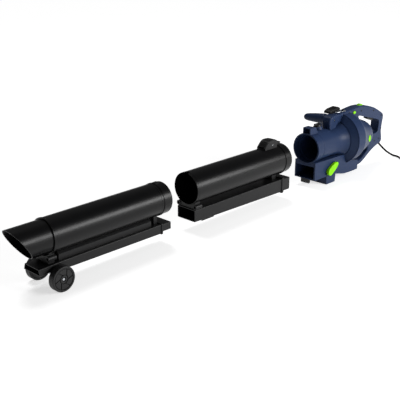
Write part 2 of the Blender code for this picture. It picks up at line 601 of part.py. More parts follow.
handle_hollow = slab(inset(arch, HANDLE_WALL + 0.001), -HANDLE_HALF + HANDLE_WALL, HANDLE_HALF - HANDLE_WALL)
cut(handle_hollow, slab(inset(window, -HANDLE_WALL), -0.05, 0.05), barrel_skin(0, HOUSING_U),
    box((0.0, HOUSING_U + 0.0427), (-0.05, 0.05), (-0.1, 0.12)),
    box((HOUSING_U, duct_end + HANDLE_WALL), (-0.05, 0.05), (-0.14, -0.095)))
chamber_r = DRUM_R - DRUM_WALL
bearing_seat = BEARING_R + GAP
chamber = turned([(HOUSING_U - 0.01, 0), (HOUSING_U - 0.01, chamber_r), (WEB_U, chamber_r),
                  (WEB_U, bearing_seat),
                  (WEB_END + 0.001, bearing_seat), (WEB_END + 0.001, 0)], BODY_SEGMENTS)
motor_room = loft([ring(WEB_END, 0.0830, 0)] + [ring(HOUSING_U + at, radius - DRUM_WALL, drop)
                                                for at, radius, drop in barrel[2:8]])
dial_u = HOUSING_U + 0.1237
dial_z = 0.0907
trigger_pivot = Vector((HOUSING_U + 0.1740, 0, 0.0541))
trigger_half = 0.0083
lock_u = HOUSING_U + 0.0627
lock_z = 0.0870
hub = Vector((HOUSING_U - 0.0603, 0, 0.0790))
grip_pin_r = 0.0037
exit_start = Vector((HOUSING_U + 0.2537, 0, -0.0516))
exit_end = exit_start + Vector((0.0290, 0, -0.0264))
guard_r = 0.0075
slot_half = trigger_half + 0.0005
cut(shell, chamber, motor_room, handle_hollow,
    box((HOUSING_U + 0.0047, HOUSING_U + 0.0297), (-0.030, 0.030), (-0.10, -0.070)),
    box((dial_u - DIAL_R - 0.0015, dial_u + DIAL_R + 0.0015),
        (-DIAL_WIDTH / 2 - 0.0005, DIAL_WIDTH / 2 + 0.0005),
        (dial_z - 0.002, 0.12)),
    slab([(trigger_pivot.x + a, trigger_pivot.z + b) for a, b in (
        (-0.0050, -0.0115), (0.0440, -0.0250), (0.0440, 0.0055), (-0.0050, 0.0055))], -slot_half, slot_half),
    turned([(0, 0), (0, 0.0090 + GAP), (0.02, 0.0090 + GAP), (0.02, 0)], 18, (0, -1, 0),
           (lock_u, -0.0135, lock_z), 0.6),
    rod(exit_start, exit_end, guard_r + GAP, 20, CORD_R + 0.0010 + GAP),
    rod((hub.x, -0.05, hub.z), (hub.x, 0.05, hub.z), grip_pin_r + GAP))
brush_u = HOUSING_U + 0.1017
brush_z = -0.010
vent_u = HOUSING_U + 0.1332
vent_r = 0.0562
for side in (-1, 1):
    cut(shell, turned([(0.050, 0), (0.050, BRUSH_HALF + GAP), (0.09, BRUSH_HALF + GAP), (0.09, 0)], 20,
                      (0, side, 0), (brush_u, 0, brush_z), BRUSH_TALL))
    for slot in range(4):
        tilt = radians(-58 + 32 * slot)
        middle = Vector((vent_u, side * vent_r * cos(tilt), vent_r * sin(tilt) - MOTOR_DROP))
        run = Vector((0.011, 0, 0))
        cut(shell, rod(middle - run, middle + run, 0.0020, 4))
near_half = copy(shell)
cut(near_half, box((0.0, 0.6), (-GAP / 2, 0.2), (-0.2, 0.2)))
cut(shell, box((0.0, 0.6), (-0.2, GAP / 2), (-0.2, 0.2)))
piece("housing_near", near_half, MOTOR, NAVY, 0.42)
piece("housing_far", shell, MOTOR, NAVY, 0.42)

# The blow duct under the inlet tube: front mouth, raised front part, and a belly under the drum.
duct = slab([(0, -0.045), (raised_end, -0.050), (raised_end, -0.0770)]
            + from_drum([(-0.0038, -0.0780), (0.0617, -0.0885)]) + [(duct_end, -0.0885), (duct_end, -0.1232)]
            + from_drum([(0.0342, -0.1250), (-0.0113, -0.1236), (-0.0403, -0.1185), (-0.0638, -0.1130)])
            + [(FOOT_BEHIND_MOUTH + 0.001, -DUCT_FLOOR), (0, -DUCT_FLOOR)], -DUCT_HALF, DUCT_HALF)
cut(duct, turned([(-0.02, 0), (-0.02, COLLAR_R + 0.0029), (0.0055, COLLAR_R + 0.0029),
                  (0.0055, COLLAR_R + 0.0004)]
                 + [(u, r + GAP) for u, r in flare[1:-1]]
                 + [(COVER_U, FLARE_R + GAP), (COVER_U, COVER_FRONT_R + 0.001),
                    (raised_end + GAP / 3, DRUM_R), (raised_end + GAP / 3, BAND_R + GAP),
                    (HOUSING_U, BAND_R + GAP), (HOUSING_U, DRUM_R + GAP),
                    (HOUSING_U + 0.01, DRUM_R + GAP), (HOUSING_U + 0.01, 0)], BODY_SEGMENTS),
    barrel_skin(-GAP, HOUSING_U + 0.009))
mouth_top = RAIL_M_TOP - 0.0002
mouth_low = RAIL_M_REAR
inner = DUCT_HALF - DUCT_WALL
floor_in = -DUCT_FLOOR + DUCT_WALL
front_room = slab([(0.036, -0.0580), (flare_start, -0.0580), (COVER_U - 0.018, -0.0615), (COVER_U, -0.0715),
                   (raised_end - DUCT_WALL, -0.0715), (raised_end - DUCT_WALL, -0.1200)]
                  + from_drum([(-0.0403, -0.1185 + DUCT_WALL), (-0.0638, -0.1130 + DUCT_WALL)])
                  + [(FOOT_BEHIND_MOUTH + 0.001, floor_in), (0.036, floor_in)], -inner, inner)
rear_room = slab(from_drum([(-0.0143, -0.0975), (-0.0068, -0.0975), (-0.0068, -0.0700), (0.0350, -0.0700),
                            (0.0397, -0.0875), (0.0617, -0.0912)])
                 + [(duct_end - DUCT_WALL, -0.0912), (duct_end - DUCT_WALL, -0.1205)]
                 + from_drum([(0.0342, -0.1225), (-0.0143, -0.1203)]), -inner, inner)
port_at = Vector((HOUSING_U + 0.0317, 0, -0.1055))
port_half = 0.0270
port_wide = 2.1
port_length = 0.016
selector_pivot = Vector((0.078, 0, -0.0925))
spindle_r = 0.0045
cut(duct, box((-0.001, 0.0375), (-MOUTH_HALF, MOUTH_HALF), (-mouth_low, -mouth_top)), front_room, rear_room,
    rod(selector_pivot + Vector((0, -0.06, 0)), selector_pivot, spindle_r + GAP),
    turned([(inner - 0.01, 0), (inner - 0.01, port_half - 0.0030), (DUCT_HALF + 0.01, port_half - 0.0030),
            (DUCT_HALF + 0.01, 0)], 28, (0, 1, 0), port_at, 1 / port_wide))
piece("blow_duct", duct, MOTOR, NAVY, 0.42)

# The foot that the motor unit stands on, and the small hook under the mouth.
foot = slab([(FOOT_BEHIND_MOUTH - FOOT_LENGTH / 2, -DUCT_FLOOR - GAP),
             (FOOT_BEHIND_MOUTH + 0.001, -DUCT_FLOOR - GAP),
             (FOOT_BEHIND_MOUTH + FOOT_LENGTH / 2, -DUCT_FLOOR - GAP - 0.0035),
             (FOOT_BEHIND_MOUTH + FOOT_LENGTH / 2 - 0.003, FLOOR),
             (FOOT_BEHIND_MOUTH - FOOT_LENGTH / 2 + 0.003, FLOOR)], -DUCT_HALF, DUCT_HALF)
for low, high in ((-DUCT_HALF + 0.008, -0.012), (0.012, DUCT_HALF - 0.008)):
    cut(foot, box((FOOT_BEHIND_MOUTH - 0.018, FOOT_BEHIND_MOUTH + 0.018), (low, high),
                  (FLOOR - 0.01, FLOOR + 0.008)))
piece("foot_block", foot, MOTOR, NAVY, 0.5)
hook_low = -DUCT_FLOOR - 0.016
hook = slab([(0.0005, -DUCT_FLOOR - GAP), (0.022, -DUCT_FLOOR - GAP), (0.022, -DUCT_FLOOR - 0.006),
             (0.012, -DUCT_FLOOR - 0.006), (0.010, hook_low), (0.002, hook_low)], -0.017, 0.017)
piece("mouth_hook", hook, MOTOR, BLACK, 0.5)

# The bag port on the duct's far side, an oval stub with a rim for the bag's collar.
port_start = DUCT_HALF + GAP
port = turned([(port_start, port_half - 0.0030), (port_start, port_half + 0.0030),
               (port_start + 0.003, port_half + 0.0030), (port_start + 0.003, port_half),
               (port_start + port_length - 0.003, port_half),
               (port_start + port_length - 0.003, port_half + 0.0015),
               (port_start + port_length, port_half + 0.0015),
               (port_start + port_length, port_half - 0.0030)], SEGMENTS, (0, 1, 0), port_at, 1 / port_wide)
piece("bag_port", port, MOTOR, BLACK, 0.5)

# The selector: a lever on the near side, a spindle through the wall and a flap in the duct.
flap_half = inner - 0.0015
lever_in = -DUCT_HALF - 0.0012
lever = slab([(selector_pivot.x + 0.0175 * cos(a), selector_pivot.z + 0.0175 * sin(a))
              for a in [radians(d) for d in range(115, 316, 20)]]
             + [(selector_pivot.x + a, selector_pivot.z + b) for a, b in (
                 (0.0300, -0.0010), (0.0470, 0.0140), (0.0530, 0.0235), (0.0510, 0.0310), (0.0420, 0.0350),
                 (0.0240, 0.0320), (0.0060, 0.0240))],
             lever_in - 0.0115, lever_in, rounding=0.0022)
piece("selector_lever", lever, MOTOR, LIME, 0.35, pivot=selector_pivot)
flap = rod(selector_pivot + Vector((0, -flap_half, 0)), selector_pivot + Vector((0, flap_half, 0)),
           0.0040, 12)
add(flap, box((selector_pivot.x - 0.0135, selector_pivot.x + 0.0330),
              (-flap_half + 0.0004, flap_half - 0.0004),
              (selector_pivot.z - 0.0013, selector_pivot.z + 0.0013)),
    rod(selector_pivot + Vector((0, lever_in + GAP, 0)),
        selector_pivot + Vector((0, -flap_half + 0.004, 0)), spindle_r))
piece("diverter_flap", flap, MOTOR, BLACK, 0.5, pivot=selector_pivot)

# The side grip turns on the handle's front hub.
grip_root = hub + Vector((0, HANDLE_HALF + GAP, 0))
grip_tip = hub + Vector((-0.001, 0.114, -0.0070))
along = grip_tip - grip_root
length = along.length
grip_profile = [(0, 0), (0, 0.0165), (0.006, 0.0182), (0.020, 0.0178), (0.050, 0.0162),
                (length - 0.020, 0.0135),
                (length - 0.008, 0.0110), (length - 0.002, 0.0068), (length, 0)]
grip = turned(grip_profile, 24, along, grip_root)
pin_depth = 0.028
pin_end = grip_root + Vector((0, pin_depth, 0))
cut(grip, box((0, 0.3), (-0.1, grip_root.y), (-0.1, 0.2)), rod(hub, pin_end, grip_pin_r + GAP))
piece("side_grip", grip, MOTOR, NAVY, 0.5, pivot=grip_root)
piece("grip_pin", rod(hub - Vector((0, HANDLE_HALF - 0.002, 0)), pin_end - Vector((0, GAP, 0)),
                      grip_pin_r), MOTOR,
      STEEL, 0.35, 1.0)

# The tube lock: a ring boss on the inlet tube and a ribbed knob that turns on it.
knob_at = 0.088
tilt = radians(72)
outward = Vector((0, cos(tilt), sin(tilt)))
boss_base = Vector((knob_at, 0, 0)) + outward * 0.046
seat = 0.0130
boss = turned([(0, 0), (0, 0.0185), (0.0150, 0.0170), (0.0150, 0)], 20, outward, boss_base)
cut(boss, cylinder_cut(COLLAR_R - 0.0011 + GAP, 0.0, 0.2, BODY_SEGMENTS),
    turned([(seat, 0), (seat, 0.0150), (0.02, 0.0150), (0.02, 0)], 20, outward, boss_base))
piece("knob_boss", boss, MOTOR, NAVY, 0.42)
knob = turned([(seat + GAP, 0), (seat + GAP, 0.0145), (0.0205, 0.0145), (0.0225, 0.0130), (0.0225, 0)], 20,
              outward, boss_base)
wing = slab([(-0.0135, -0.0025), (0.0135, -0.0025), (0.0135, 0.0025), (-0.0135, 0.0025)], 0.0215, 0.0290,
            "XY", 0.001)
lengthwise = Vector((1, 0, 0))
turn_up = Matrix((lengthwise, lengthwise.cross(outward), outward)).transposed().to_4x4()
wing.data.transform(Matrix.Translation(boss_base) @ turn_up)
add(knob, wing)
piece("lock_knob", knob, MOTOR, BLACK, 0.5, pivot=boss_base + outward * (seat + GAP))

# The strap lug, a ribbed block on top of the handle, and the wire ring in its eye.
lug = slab(from_drum([(-0.0583, 0.0985), (-0.0228, 0.0995), (0.0037, 0.1010), (0.0037, 0.1100),
                      (-0.0043, 0.1150),
                      (-0.0403, 0.1120), (-0.0563, 0.1060)]), 0.004, 0.033, rounding=0.002)
for rib in range(5):
    at = HOUSING_U - 0.0463 + 0.009 * rib
    cut(lug, box((at, at + 0.0035), (0.0, 0.04), (0.1095 + 0.00036 * rib, 0.13)))
over_arch = [(a, b + GAP) for a, b in arch]
cut(lug, slab(over_arch, -0.03, 0.05))
piece("strap_lug", lug, MOTOR, BLACK, 0.6)
wire_r = 0.0013
eye = Vector((HOUSING_U + 0.0072, 0, 0.1030))
ring_path = [(0.0, -0.0100), (-0.0010, -0.0145), (-0.0060, -0.0160), (-0.0400, -0.0120), (-0.0460, -0.0070),
             (-0.0400, -0.0020), (-0.0060, 0.0020), (-0.0010, 0.0005), (0.0, -0.0040)]


def wire_loop(points, radius, centre):
    """A closed round wire through points (x, y) at one height."""
    bm = bmesh.new()
    route = [Vector((a, b, 0)) for a, b in smooth_outline(points, 2)]
    rings = []
    for i, here in enumerate(route):
        ahead = (route[(i + 1) % len(route)] - route[i - 1]).normalized()
        side = ahead.cross(Vector((0, 0, 1)))
        rings.append([bm.verts.new(centre + here + radius * (cos(a) * side + sin(a) * Vector((0, 0, 1))))
                      for a in [2 * pi * k / 6 for k in range(6)]])
    for first, second in zip(rings, rings[1:] + rings[:1]):
        for k in range(6):
            bm.faces.new((first[k], first[(k + 1) % 6], second[(k + 1) % 6], second[k]))
    return solid(bm)


piece("strap_ring", wire_loop(ring_path, wire_r, eye), MOTOR, STEEL, 0.25, 1.0, pivot=eye)
eye_block = box((eye.x - 0.0040, eye.x + 0.0060), (-0.0093, -0.0047), (0.09, eye.z + 0.0035))
cut(eye_block, slab(over_arch, -0.05, 0.05),
    rod((eye.x, -0.03, eye.z), (eye.x, 0.02, eye.z), wire_r + GAP * 2, 12))
piece("ring_eye", eye_block, MOTOR, BLACK, 0.5)

# Speed dial in the handle's top, on a stub axle held by the two housing halves.
inner_y = HANDLE_HALF - HANDLE_WALL - GAP
dial = rod((dial_u, -DIAL_WIDTH / 2, dial_z), (dial_u, DIAL_WIDTH / 2, dial_z), DIAL_R, 20)
add(dial, rod((dial_u, -inner_y, dial_z), (dial_u, inner_y, dial_z), 0.003, 12))
for notch in range(10):
    angle = 2 * pi * notch / 10
    spot = Vector((dial_u + (DIAL_R + 0.0006) * cos(angle), 0, dial_z + (DIAL_R + 0.0006) * sin(angle)))
    cut(dial, rod(spot + Vector((0, -0.01, 0)), spot + Vector((0, 0.01, 0)), 0.0014, 4))
piece("speed_dial", dial, MOTOR, LIME, 0.35, pivot=(dial_u, 0, dial_z))

# Lock button, an oval plunger through the near side of the handle.
lock_seat = (lock_u, -0.0135, lock_z)
button = turned([(-0.0080, 0), (-0.0080, 0.0060), (-0.0006, 0.0060), (-0.0006, 0.0090), (0.0068, 0.0090),
                 (0.0075, 0.0082), (0.0075, 0)], 18, (0, -1, 0), lock_seat, 0.6)
piece("lock_button", button, MOTOR, LIME, 0.35, pivot=lock_seat)

# Trigger under the handle's bar, on a pin held by the two halves.
trigger = slab([(trigger_pivot.x + a, trigger_pivot.z + b) for a, b in (
    (-0.0035, 0.0045), (-0.0035, -0.0110), (0.0050, -0.0140), (0.0190, -0.0200), (0.0300, -0.0232),
    (0.0380, -0.0225), (0.0400, -0.0180), (0.0400, -0.0045),
    (0.0110, 0.0035))], -trigger_half, trigger_half)
pin_ends = [trigger_pivot + Vector((0, y, 0)) for y in (-inner_y, inner_y)]
cut(trigger, rod(*pin_ends, 0.0015 + GAP, 12))
piece("trigger", trigger, MOTOR, BLACK, 0.5, pivot=trigger_pivot)
piece("trigger_pin", rod(*pin_ends, 0.0015, 12), MOTOR, STEEL, 0.35, 1.0)
switch = slab([(trigger_pivot.x + a, trigger_pivot.z + b) for a, b in (
    (0.0010, 0.0100), (0.0340, 0.0050), (0.0340, 0.0160), (0.0010, 0.0250))], -inner_y, inner_y)
piece("switch_block", switch, MOTOR, BLACK, 0.6)

# Brush covers on both sides of the motor barrel.
for side, label in ((-1, "near"), (1, "far")):
    cap = turned([(0.0560, 0), (0.0560, 0.0068), (0.0590, BRUSH_HALF), (0.0680, BRUSH_HALF),
                  (0.0692, 0.0065), (0.0692, 0)],
                 20, (0, side, 0), (brush_u, 0, brush_z), BRUSH_TALL)
    piece("brush_cover_" + label, cap, MOTOR, LIME, 0.35)

# The motor: a can bolted to the fan chamber's web, a stator in it, and a rotor with its fan.
can_start = WEB_END + GAP
can_end = can_start + CAN_LENGTH
shaft_bore = SHAFT_R + GAP
can = turned([(can_start, 0.0130), (can_start, CAN_R), (can_end, CAN_R), (can_end, BEARING_R + GAP),
              (can_end - WEB, BEARING_R + GAP), (can_end - WEB, CAN_R - CAN_WALL),
              (can_start + CAN_WALL, CAN_R - CAN_WALL), (can_start + CAN_WALL, 0.0130)])
piece("motor_can", can, MOTOR, STEEL, 0.4, 1.0)
stack = 0.046
stack_start = can_start + 0.0240
stator_r = CAN_R - CAN_WALL - GAP
stator = turned([(stack_start, stator_r), (stack_start + stack, stator_r), (stack_start + stack, 0.0260),
                 (stack_start, 0.0260)])
piece("stator", stator, MOTOR, COPPER, 0.5, 0.6)
for label, start in (("front", WEB_U), ("rear", can_end - WEB)):
    race = turned([(start, shaft_bore), (start, BEARING_R), (start + WEB, BEARING_R),
                   (start + WEB, shaft_bore)], 20)
    piece("bearing_" + label, race, MOTOR, STEEL, 0.3, 1.0)
fan_u = HOUSING_U + 0.0067
rotor = turned([(fan_u - 0.0010, 0), (fan_u - 0.0010, SHAFT_R), (stack_start - 0.004, SHAFT_R),
                (stack_start - 0.004, 0.0240), (stack_start + stack + 0.004, 0.0240),
                (stack_start + stack + 0.004, SHAFT_R), (can_end + 0.004, SHAFT_R),
                (can_end + 0.004, 0)], 20)
piece("rotor", rotor, MOTOR, COPPER, 0.4, 0.8)

# The fan: a back plate and hub with curved blades.
blade_depth = 0.021
plate = fan_u + blade_depth
impeller = turned([(fan_u, shaft_bore), (fan_u, 0.0100), (plate - 0.002, 0.0140), (plate, 0.0180),
                   (plate, IMPELLER_R),
                   (plate + 0.0023, IMPELLER_R), (plate + 0.0023, shaft_bore)], 24)
for number in range(BLADES):
    turn = 2 * pi * number / BLADES
    outline = []
    for thickness, steps in ((0.0010, range(4)), (-0.0010, range(3, -1, -1))):
        for step in steps:
            share = step / 3
            radius = 0.0125 + (IMPELLER_R - 0.0130) * share
            angle = turn - 0.75 * share + thickness / radius
            outline.append((radius * cos(angle), radius * sin(angle)))
    add(impeller, slab(outline, fan_u + 0.0005, plate + 0.0005, "YZ"))
piece("fan_impeller", impeller, MOTOR, BLACK, 0.5)

# The mains lead: a tapered guard, the free cord on the floor and a two-pin plug.
piece("cord_guard", rod(exit_start, exit_end, guard_r, 20, CORD_R + 0.0010), MOTOR, BLACK, 0.6)
floor_z = FLOOR + CORD_R + 0.0003
plug_half = 0.0105
plug_z = FLOOR + plug_half + 0.0003
cord_exit = exit_end + (exit_end - exit_start).normalized() * GAP
route = [tuple(cord_exit), (0.5000, -0.0010, -0.0921), (0.5150, -0.0040, -0.1050),
         (0.5300, -0.0090, -0.1180), (0.5420, -0.0170, -0.1280), (0.5490, -0.0280, -0.1345),
         (0.5510, -0.0410, floor_z), (0.5460, -0.0560, floor_z), (0.5340, -0.0720, floor_z),
         (0.5200, -0.0950, floor_z), (0.5080, -0.1250, floor_z), (0.5010, -0.1600, floor_z),
         (0.5000, -0.1820, -0.1340), (0.5000, -0.2030, plug_z), (0.5000, -0.2120, plug_z),
         (0.5000, -0.2150, plug_z)]


def through(points, spacing):
    """Points at an even spacing on an open Catmull-Rom curve through the route."""
    ends = [2 * Vector(points[0]) - Vector(points[1])] + [Vector(p) for p in points]
    ends.append(2 * Vector(points[-1]) - Vector(points[-2]))
    fine = []
    for i in range(1, len(ends) - 2):
        p0, p1, p2, p3 = ends[i - 1:i + 3]
        for step in range(24):
            t = step / 24
            fine.append(0.5 * (2 * p1 + (p2 - p0) * t + (2 * p0 - 5 * p1 + 4 * p2 - p3) * t * t
                               + (3 * p1 - p0 - 3 * p2 + p3) * t ** 3))
    fine.append(Vector(points[-1]))
    total = sum((b - a).length for a, b in zip(fine, fine[1:]))
    count = round(total / spacing)
    picked, run, target = [fine[0]], 0.0, total / count
    for a, b in zip(fine, fine[1:]):
        run += (b - a).length
        if run >= target * len(picked) and len(picked) < count:
            picked.append(b)
    picked.append(fine[-1])
    return picked


def cable(name, points, radius, colour):
    curve = bpy.data.curves.new(name, "CURVE")
    curve.dimensions = "3D"
    curve.bevel_depth = radius
    curve.bevel_resolution = 2
    curve.use_fill_caps = True
    spline = curve.splines.new("POLY")
    spline.points.add(len(points) - 1)
    for target, point in zip(spline.points, points):
        target.co = (*point, 1)
    made = bpy.data.objects.new(name, curve)
    bpy.context.scene.collection.objects.link(made)
    made.parent = MOTOR
    curve.materials.append(finish_material(name, colour, 0.5))
    return made


cable("cord", through(route, 2.5 * 2 * CORD_R), CORD_R, BLACK)
plug_x, plug_y = route[-1][0], route[-1][1] - GAP
plug = turned([(0, 0), (0, 0.0060), (0.010, 0.0075), (0.016, plug_half), (0.034, plug_half),
               (0.036, 0.0095), (0.036, 0)],
              24, (0, -1, 0), (plug_x, plug_y, plug_z), 1.0)
plug.data.transform(Matrix.Translation((plug_x, 0, 0)) @ Matrix.Scale(1.35, 4,
                                                                      (1, 0, 0)) @ Matrix.Translation((-plug_x, 0, 0)))
piece("plug_body", plug, MOTOR, BLACK, 0.5)
for side, label in ((-1, "left"), (1, "right")):
    pin_x = plug_x + side * 0.0085
    piece("plug_pin_" + label, rod((pin_x, plug_y - 0.036 - GAP, plug_z), (pin_x, plug_y - 0.055, plug_z),
                                   0.0024, 12),
          MOTOR, STEEL, 0.3, 1.0)
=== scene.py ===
import json
from math import cos, pi, radians, sin

import bmesh
import bpy
from mathutils import Matrix, Vector


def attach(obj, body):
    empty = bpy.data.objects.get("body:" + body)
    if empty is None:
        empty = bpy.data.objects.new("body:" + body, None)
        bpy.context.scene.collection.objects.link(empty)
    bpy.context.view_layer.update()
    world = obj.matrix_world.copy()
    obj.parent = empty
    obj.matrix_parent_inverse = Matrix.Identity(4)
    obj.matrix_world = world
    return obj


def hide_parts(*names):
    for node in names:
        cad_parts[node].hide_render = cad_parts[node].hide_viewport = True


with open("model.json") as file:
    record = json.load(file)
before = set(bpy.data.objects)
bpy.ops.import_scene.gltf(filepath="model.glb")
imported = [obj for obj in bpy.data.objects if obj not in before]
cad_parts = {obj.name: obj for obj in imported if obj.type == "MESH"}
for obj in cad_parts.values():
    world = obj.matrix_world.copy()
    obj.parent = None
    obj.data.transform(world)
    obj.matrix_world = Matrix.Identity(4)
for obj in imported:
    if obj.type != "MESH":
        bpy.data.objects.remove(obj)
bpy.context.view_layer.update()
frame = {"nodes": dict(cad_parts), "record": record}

scene = bpy.context.scene

# CAMERA
# A 70 mm lens at the photograph's own angle: 46 degrees to the near side of the nozzle and
# 20 degrees down. The principal point is the picture's centre.
def placed(name, data):
    """A new object in the scene's own collection."""
    made = bpy.data.objects.new(name, data)
    scene.collection.objects.link(made)
    return made


LENS, LOOK_DOWN, LOOK_ROUND = 70.2, 19.9, 46.05
camera_data = bpy.data.cameras.new("camera")
camera_data.sensor_width = 36.0
camera_data.lens = LENS
camera_data.clip_end = 50.0
camera = placed("camera", camera_data)
camera.location = (-2.244, -1.554, 0.899)
camera.rotation_euler = (radians(90 - LOOK_DOWN), 0, radians(-LOOK_ROUND))
scene.camera = camera


def add_node(tree, kind, settings=None, links=None):
    """Adds a shader or geometry node, sets its properties and sockets, and links its inputs."""
    made = tree.nodes.new(kind)
    for key, value in (settings or {}).items():
        if isinstance(key, str) and hasattr(made, key):
            setattr(made, key, value)
        else:
            made.inputs[key].default_value = value
    for key, source in (links or {}).items():
        tree.links.new(source, made.inputs[key])
    return made


def colour(code):
    """An sRGB hex colour as linear values with alpha."""
    parts = [int(code[i:i + 2], 16) / 255 for i in (1, 3, 5)]
    return [c / 12.92 if c <= 0.04045 else ((c + 0.055) / 1.055) ** 2.4 for c in parts] + [1.0]


# FLOOR AND LIGHT
# A plain white studio sweep: the floor takes the shadows, and looks white to the camera and in reflections
# without more light falling on the object. The main light is a wide sheet overhead, and a soft box on the
# near side, behind the motor unit, gives the tubes their sheen.
FLOOR_WHITE, FLOOR_LIFT, FLOOR_HALF = 0.8, 0.61, 14.0
ROOM_LIGHT, ROOM_SEEN = 0.13, 1.0
BOX_PLACE, BOX_AIM, BOX_SIZE, BOX_WATTS = (0.9, -2.6, 1.0), (-0.45, 0, 0.1), (2.2, 0.9), 88
SHEET_STRENGTH, SHEET_ANGLE, SHEET_TURN = 1.15, radians(24), (radians(-20), radians(4), 0)


def new_material(name):
    material = bpy.data.materials.new(name)
    material.use_nodes = True
    return material, material.node_tree


def white_stage(name):
    """White paper that the camera, reflections and glass see lifted towards pure white."""
    material, tree = new_material(name)
    tree.nodes.clear()
    path = add_node(tree, "ShaderNodeLightPath").outputs
    seen = path["Is Camera Ray"]
    for ray in ("Is Glossy Ray", "Is Transmission Ray"):
        seen = add_node(tree, "ShaderNodeMath", {"operation": "ADD", "use_clamp": True},
            {0: seen, 1: path[ray]}).outputs[0]
    lift = add_node(tree, "ShaderNodeMath", {"operation": "MULTIPLY", 1: FLOOR_LIFT}, {0: seen})
    paint = add_node(tree, "ShaderNodeBsdfDiffuse", {"Color": (FLOOR_WHITE, FLOOR_WHITE, FLOOR_WHITE, 1)})
    glow = add_node(tree, "ShaderNodeEmission", {"Color": (1, 1, 1, 1)}, {"Strength": lift.outputs[0]})
    both = add_node(tree, "ShaderNodeAddShader", {}, {0: paint.outputs[0], 1: glow.outputs[0]})
    add_node(tree, "ShaderNodeOutputMaterial", {}, {"Surface": both.outputs[0]})
    return material


floor_mesh = bpy.data.meshes.new("studio_floor")
floor_mesh.from_pydata([(FLOOR_HALF * a, FLOOR_HALF * b, 0) for a, b in ((-1, -1), (1, -1), (1, 1), (-1, 1))],
    [], [(0, 1, 2, 3)])
floor = placed("studio_floor", floor_mesh)
floor_mesh.materials.append(white_stage("matt_white_paper"))

world = bpy.data.worlds.new("studio")
scene.world = world
world.use_nodes = True
sky = world.node_tree
sky.nodes.clear()
from_camera = add_node(sky, "ShaderNodeLightPath").outputs["Is Camera Ray"]
plain, white = (add_node(sky, "ShaderNodeBackground", {"Color": (1, 1, 1, 1),
    "Strength": strength}).outputs[0] for strength in (ROOM_LIGHT, ROOM_SEEN))
pick = add_node(sky, "ShaderNodeMixShader", {}, {0: from_camera, 1: plain, 2: white})
add_node(sky, "ShaderNodeOutputWorld", {}, {"Surface": pick.outputs[0]})
scene.view_settings.view_transform = "Standard"

side_box = placed("side_box", bpy.data.lights.new("side_box", "AREA"))
side_box.data.shape = "RECTANGLE"
side_box.data.size, side_box.data.size_y = BOX_SIZE
side_box.data.energy = BOX_WATTS
side_box.location = BOX_PLACE
side_box.rotation_euler = (Vector(BOX_AIM) - Vector(BOX_PLACE)).to_track_quat("-Z", "Y").to_euler()
overhead = placed("overhead_sheet", bpy.data.lights.new("overhead_sheet", "SUN"))
overhead.data.energy = SHEET_STRENGTH
overhead.data.angle = SHEET_ANGLE
overhead.rotation_euler = SHEET_TURN

# MAINS LEAD
# A round rubber-sheathed two-core lead, 7.4 mm across, out of a tapered guard held between the
# housing halves at the foot of the handle. It falls to the floor, turns and ends in a moulded
# two-pin plug.
AXIS = 0.14
FLOOR = -AXIS
# Each section of the tool is drawn from its own mouth, about its axis, and then put in its place.
NOZZLE_X, MID_X, MOTOR_X = -0.8195, -0.6915, -0.099
SECTION_X = {"nozzle": NOZZLE_X, "wheel_near": NOZZLE_X, "wheel_far": NOZZLE_X, "mid_section": MID_X,
    "latch": MID_X}
HOUSING_U = 0.2003
CORD_R = 0.0037
GAP = 0.0003
body_of = {}
for body_name, body_nodes in frame["record"]["behaviour"]["bodies"].items():
    for node_name in body_nodes:
        body_of[node_name] = body_name


def vary(tree, noise, tones, dullness):
    """Lets a noise run the colour between two tones and the roughness between two values."""
    shader = tree.nodes["Principled BSDF"]
    ramp = add_node(tree, "ShaderNodeValToRGB", {}, {"Fac": noise})
    for element, tone in zip(ramp.color_ramp.elements, tones):
        element.color = tone
    gloss = add_node(tree, "ShaderNodeMapRange", dict(zip(("To Min", "To Max"), dullness)), {"Value": noise})
    tree.links.new(ramp.outputs["Color"], shader.inputs["Base Color"])
    tree.links.new(gloss.outputs["Result"], shader.inputs["Roughness"])
    return shader


def shade(base, share):
    return [min(1, c * share) for c in colour(base)[:3]] + [1]


PATCHES_PER_METRE = 22.0


def moulded(name, base, roughness, grain, depth, mottle=0.06, specular=0.5):
    """A moulded polymer: slight colour and gloss variation, dust-dull patches and a spark-eroded
    grain as bump. Grain is its speck size in metres: the real one is about 0.2 mm, too fine to
    show, so it is drawn about 1 mm across."""
    material, tree = new_material(name)
    place = add_node(tree, "ShaderNodeTexCoord").outputs["Object"]
    cloud = add_node(tree, "ShaderNodeTexNoise", {"Scale": PATCHES_PER_METRE, "Detail": 4.0},
        {"Vector": place})
    shader = vary(tree, cloud.outputs["Fac"], (shade(base, 1 - mottle), shade(base, 1 + mottle)),
        (roughness - 0.04, roughness + 0.05))
    shader.inputs["IOR"].default_value = 1.5
    shader.inputs["Specular IOR Level"].default_value = specular
    speck = add_node(tree, "ShaderNodeTexNoise", {"Scale": 1 / grain, "Detail": 2.0}, {"Vector": place})
    bump = add_node(tree, "ShaderNodeBump", {"Strength": 0.5, "Distance": depth},
        {"Height": speck.outputs["Fac"]})
    tree.links.new(bump.outputs["Normal"], shader.inputs["Normal"])
    return material


def metal(name, base, roughness, scratch, stretch=(1, 1, 1)):
    """Drawn, turned or wound metal: fine marks, stretched along one axis, vary gloss and colour.
    Scratch is their size in metres, about 1 mm, where the real marks are too fine to show."""
    material, tree = new_material(name)
    place = add_node(tree, "ShaderNodeTexCoord").outputs["Object"]
    drawn = add_node(tree, "ShaderNodeVectorMath", {"operation": "MULTIPLY", 1: stretch}, {0: place})
    streak = add_node(tree, "ShaderNodeTexNoise", {"Scale": 1 / scratch, "Detail": 3.0},
        {"Vector": drawn.outputs[0]})
    shader = vary(tree, streak.outputs["Fac"], (shade(base, 0.8), shade(base, 1)),
        (roughness - 0.06, roughness + 0.1))
    shader.inputs["Metallic"].default_value = 1.0
    return material


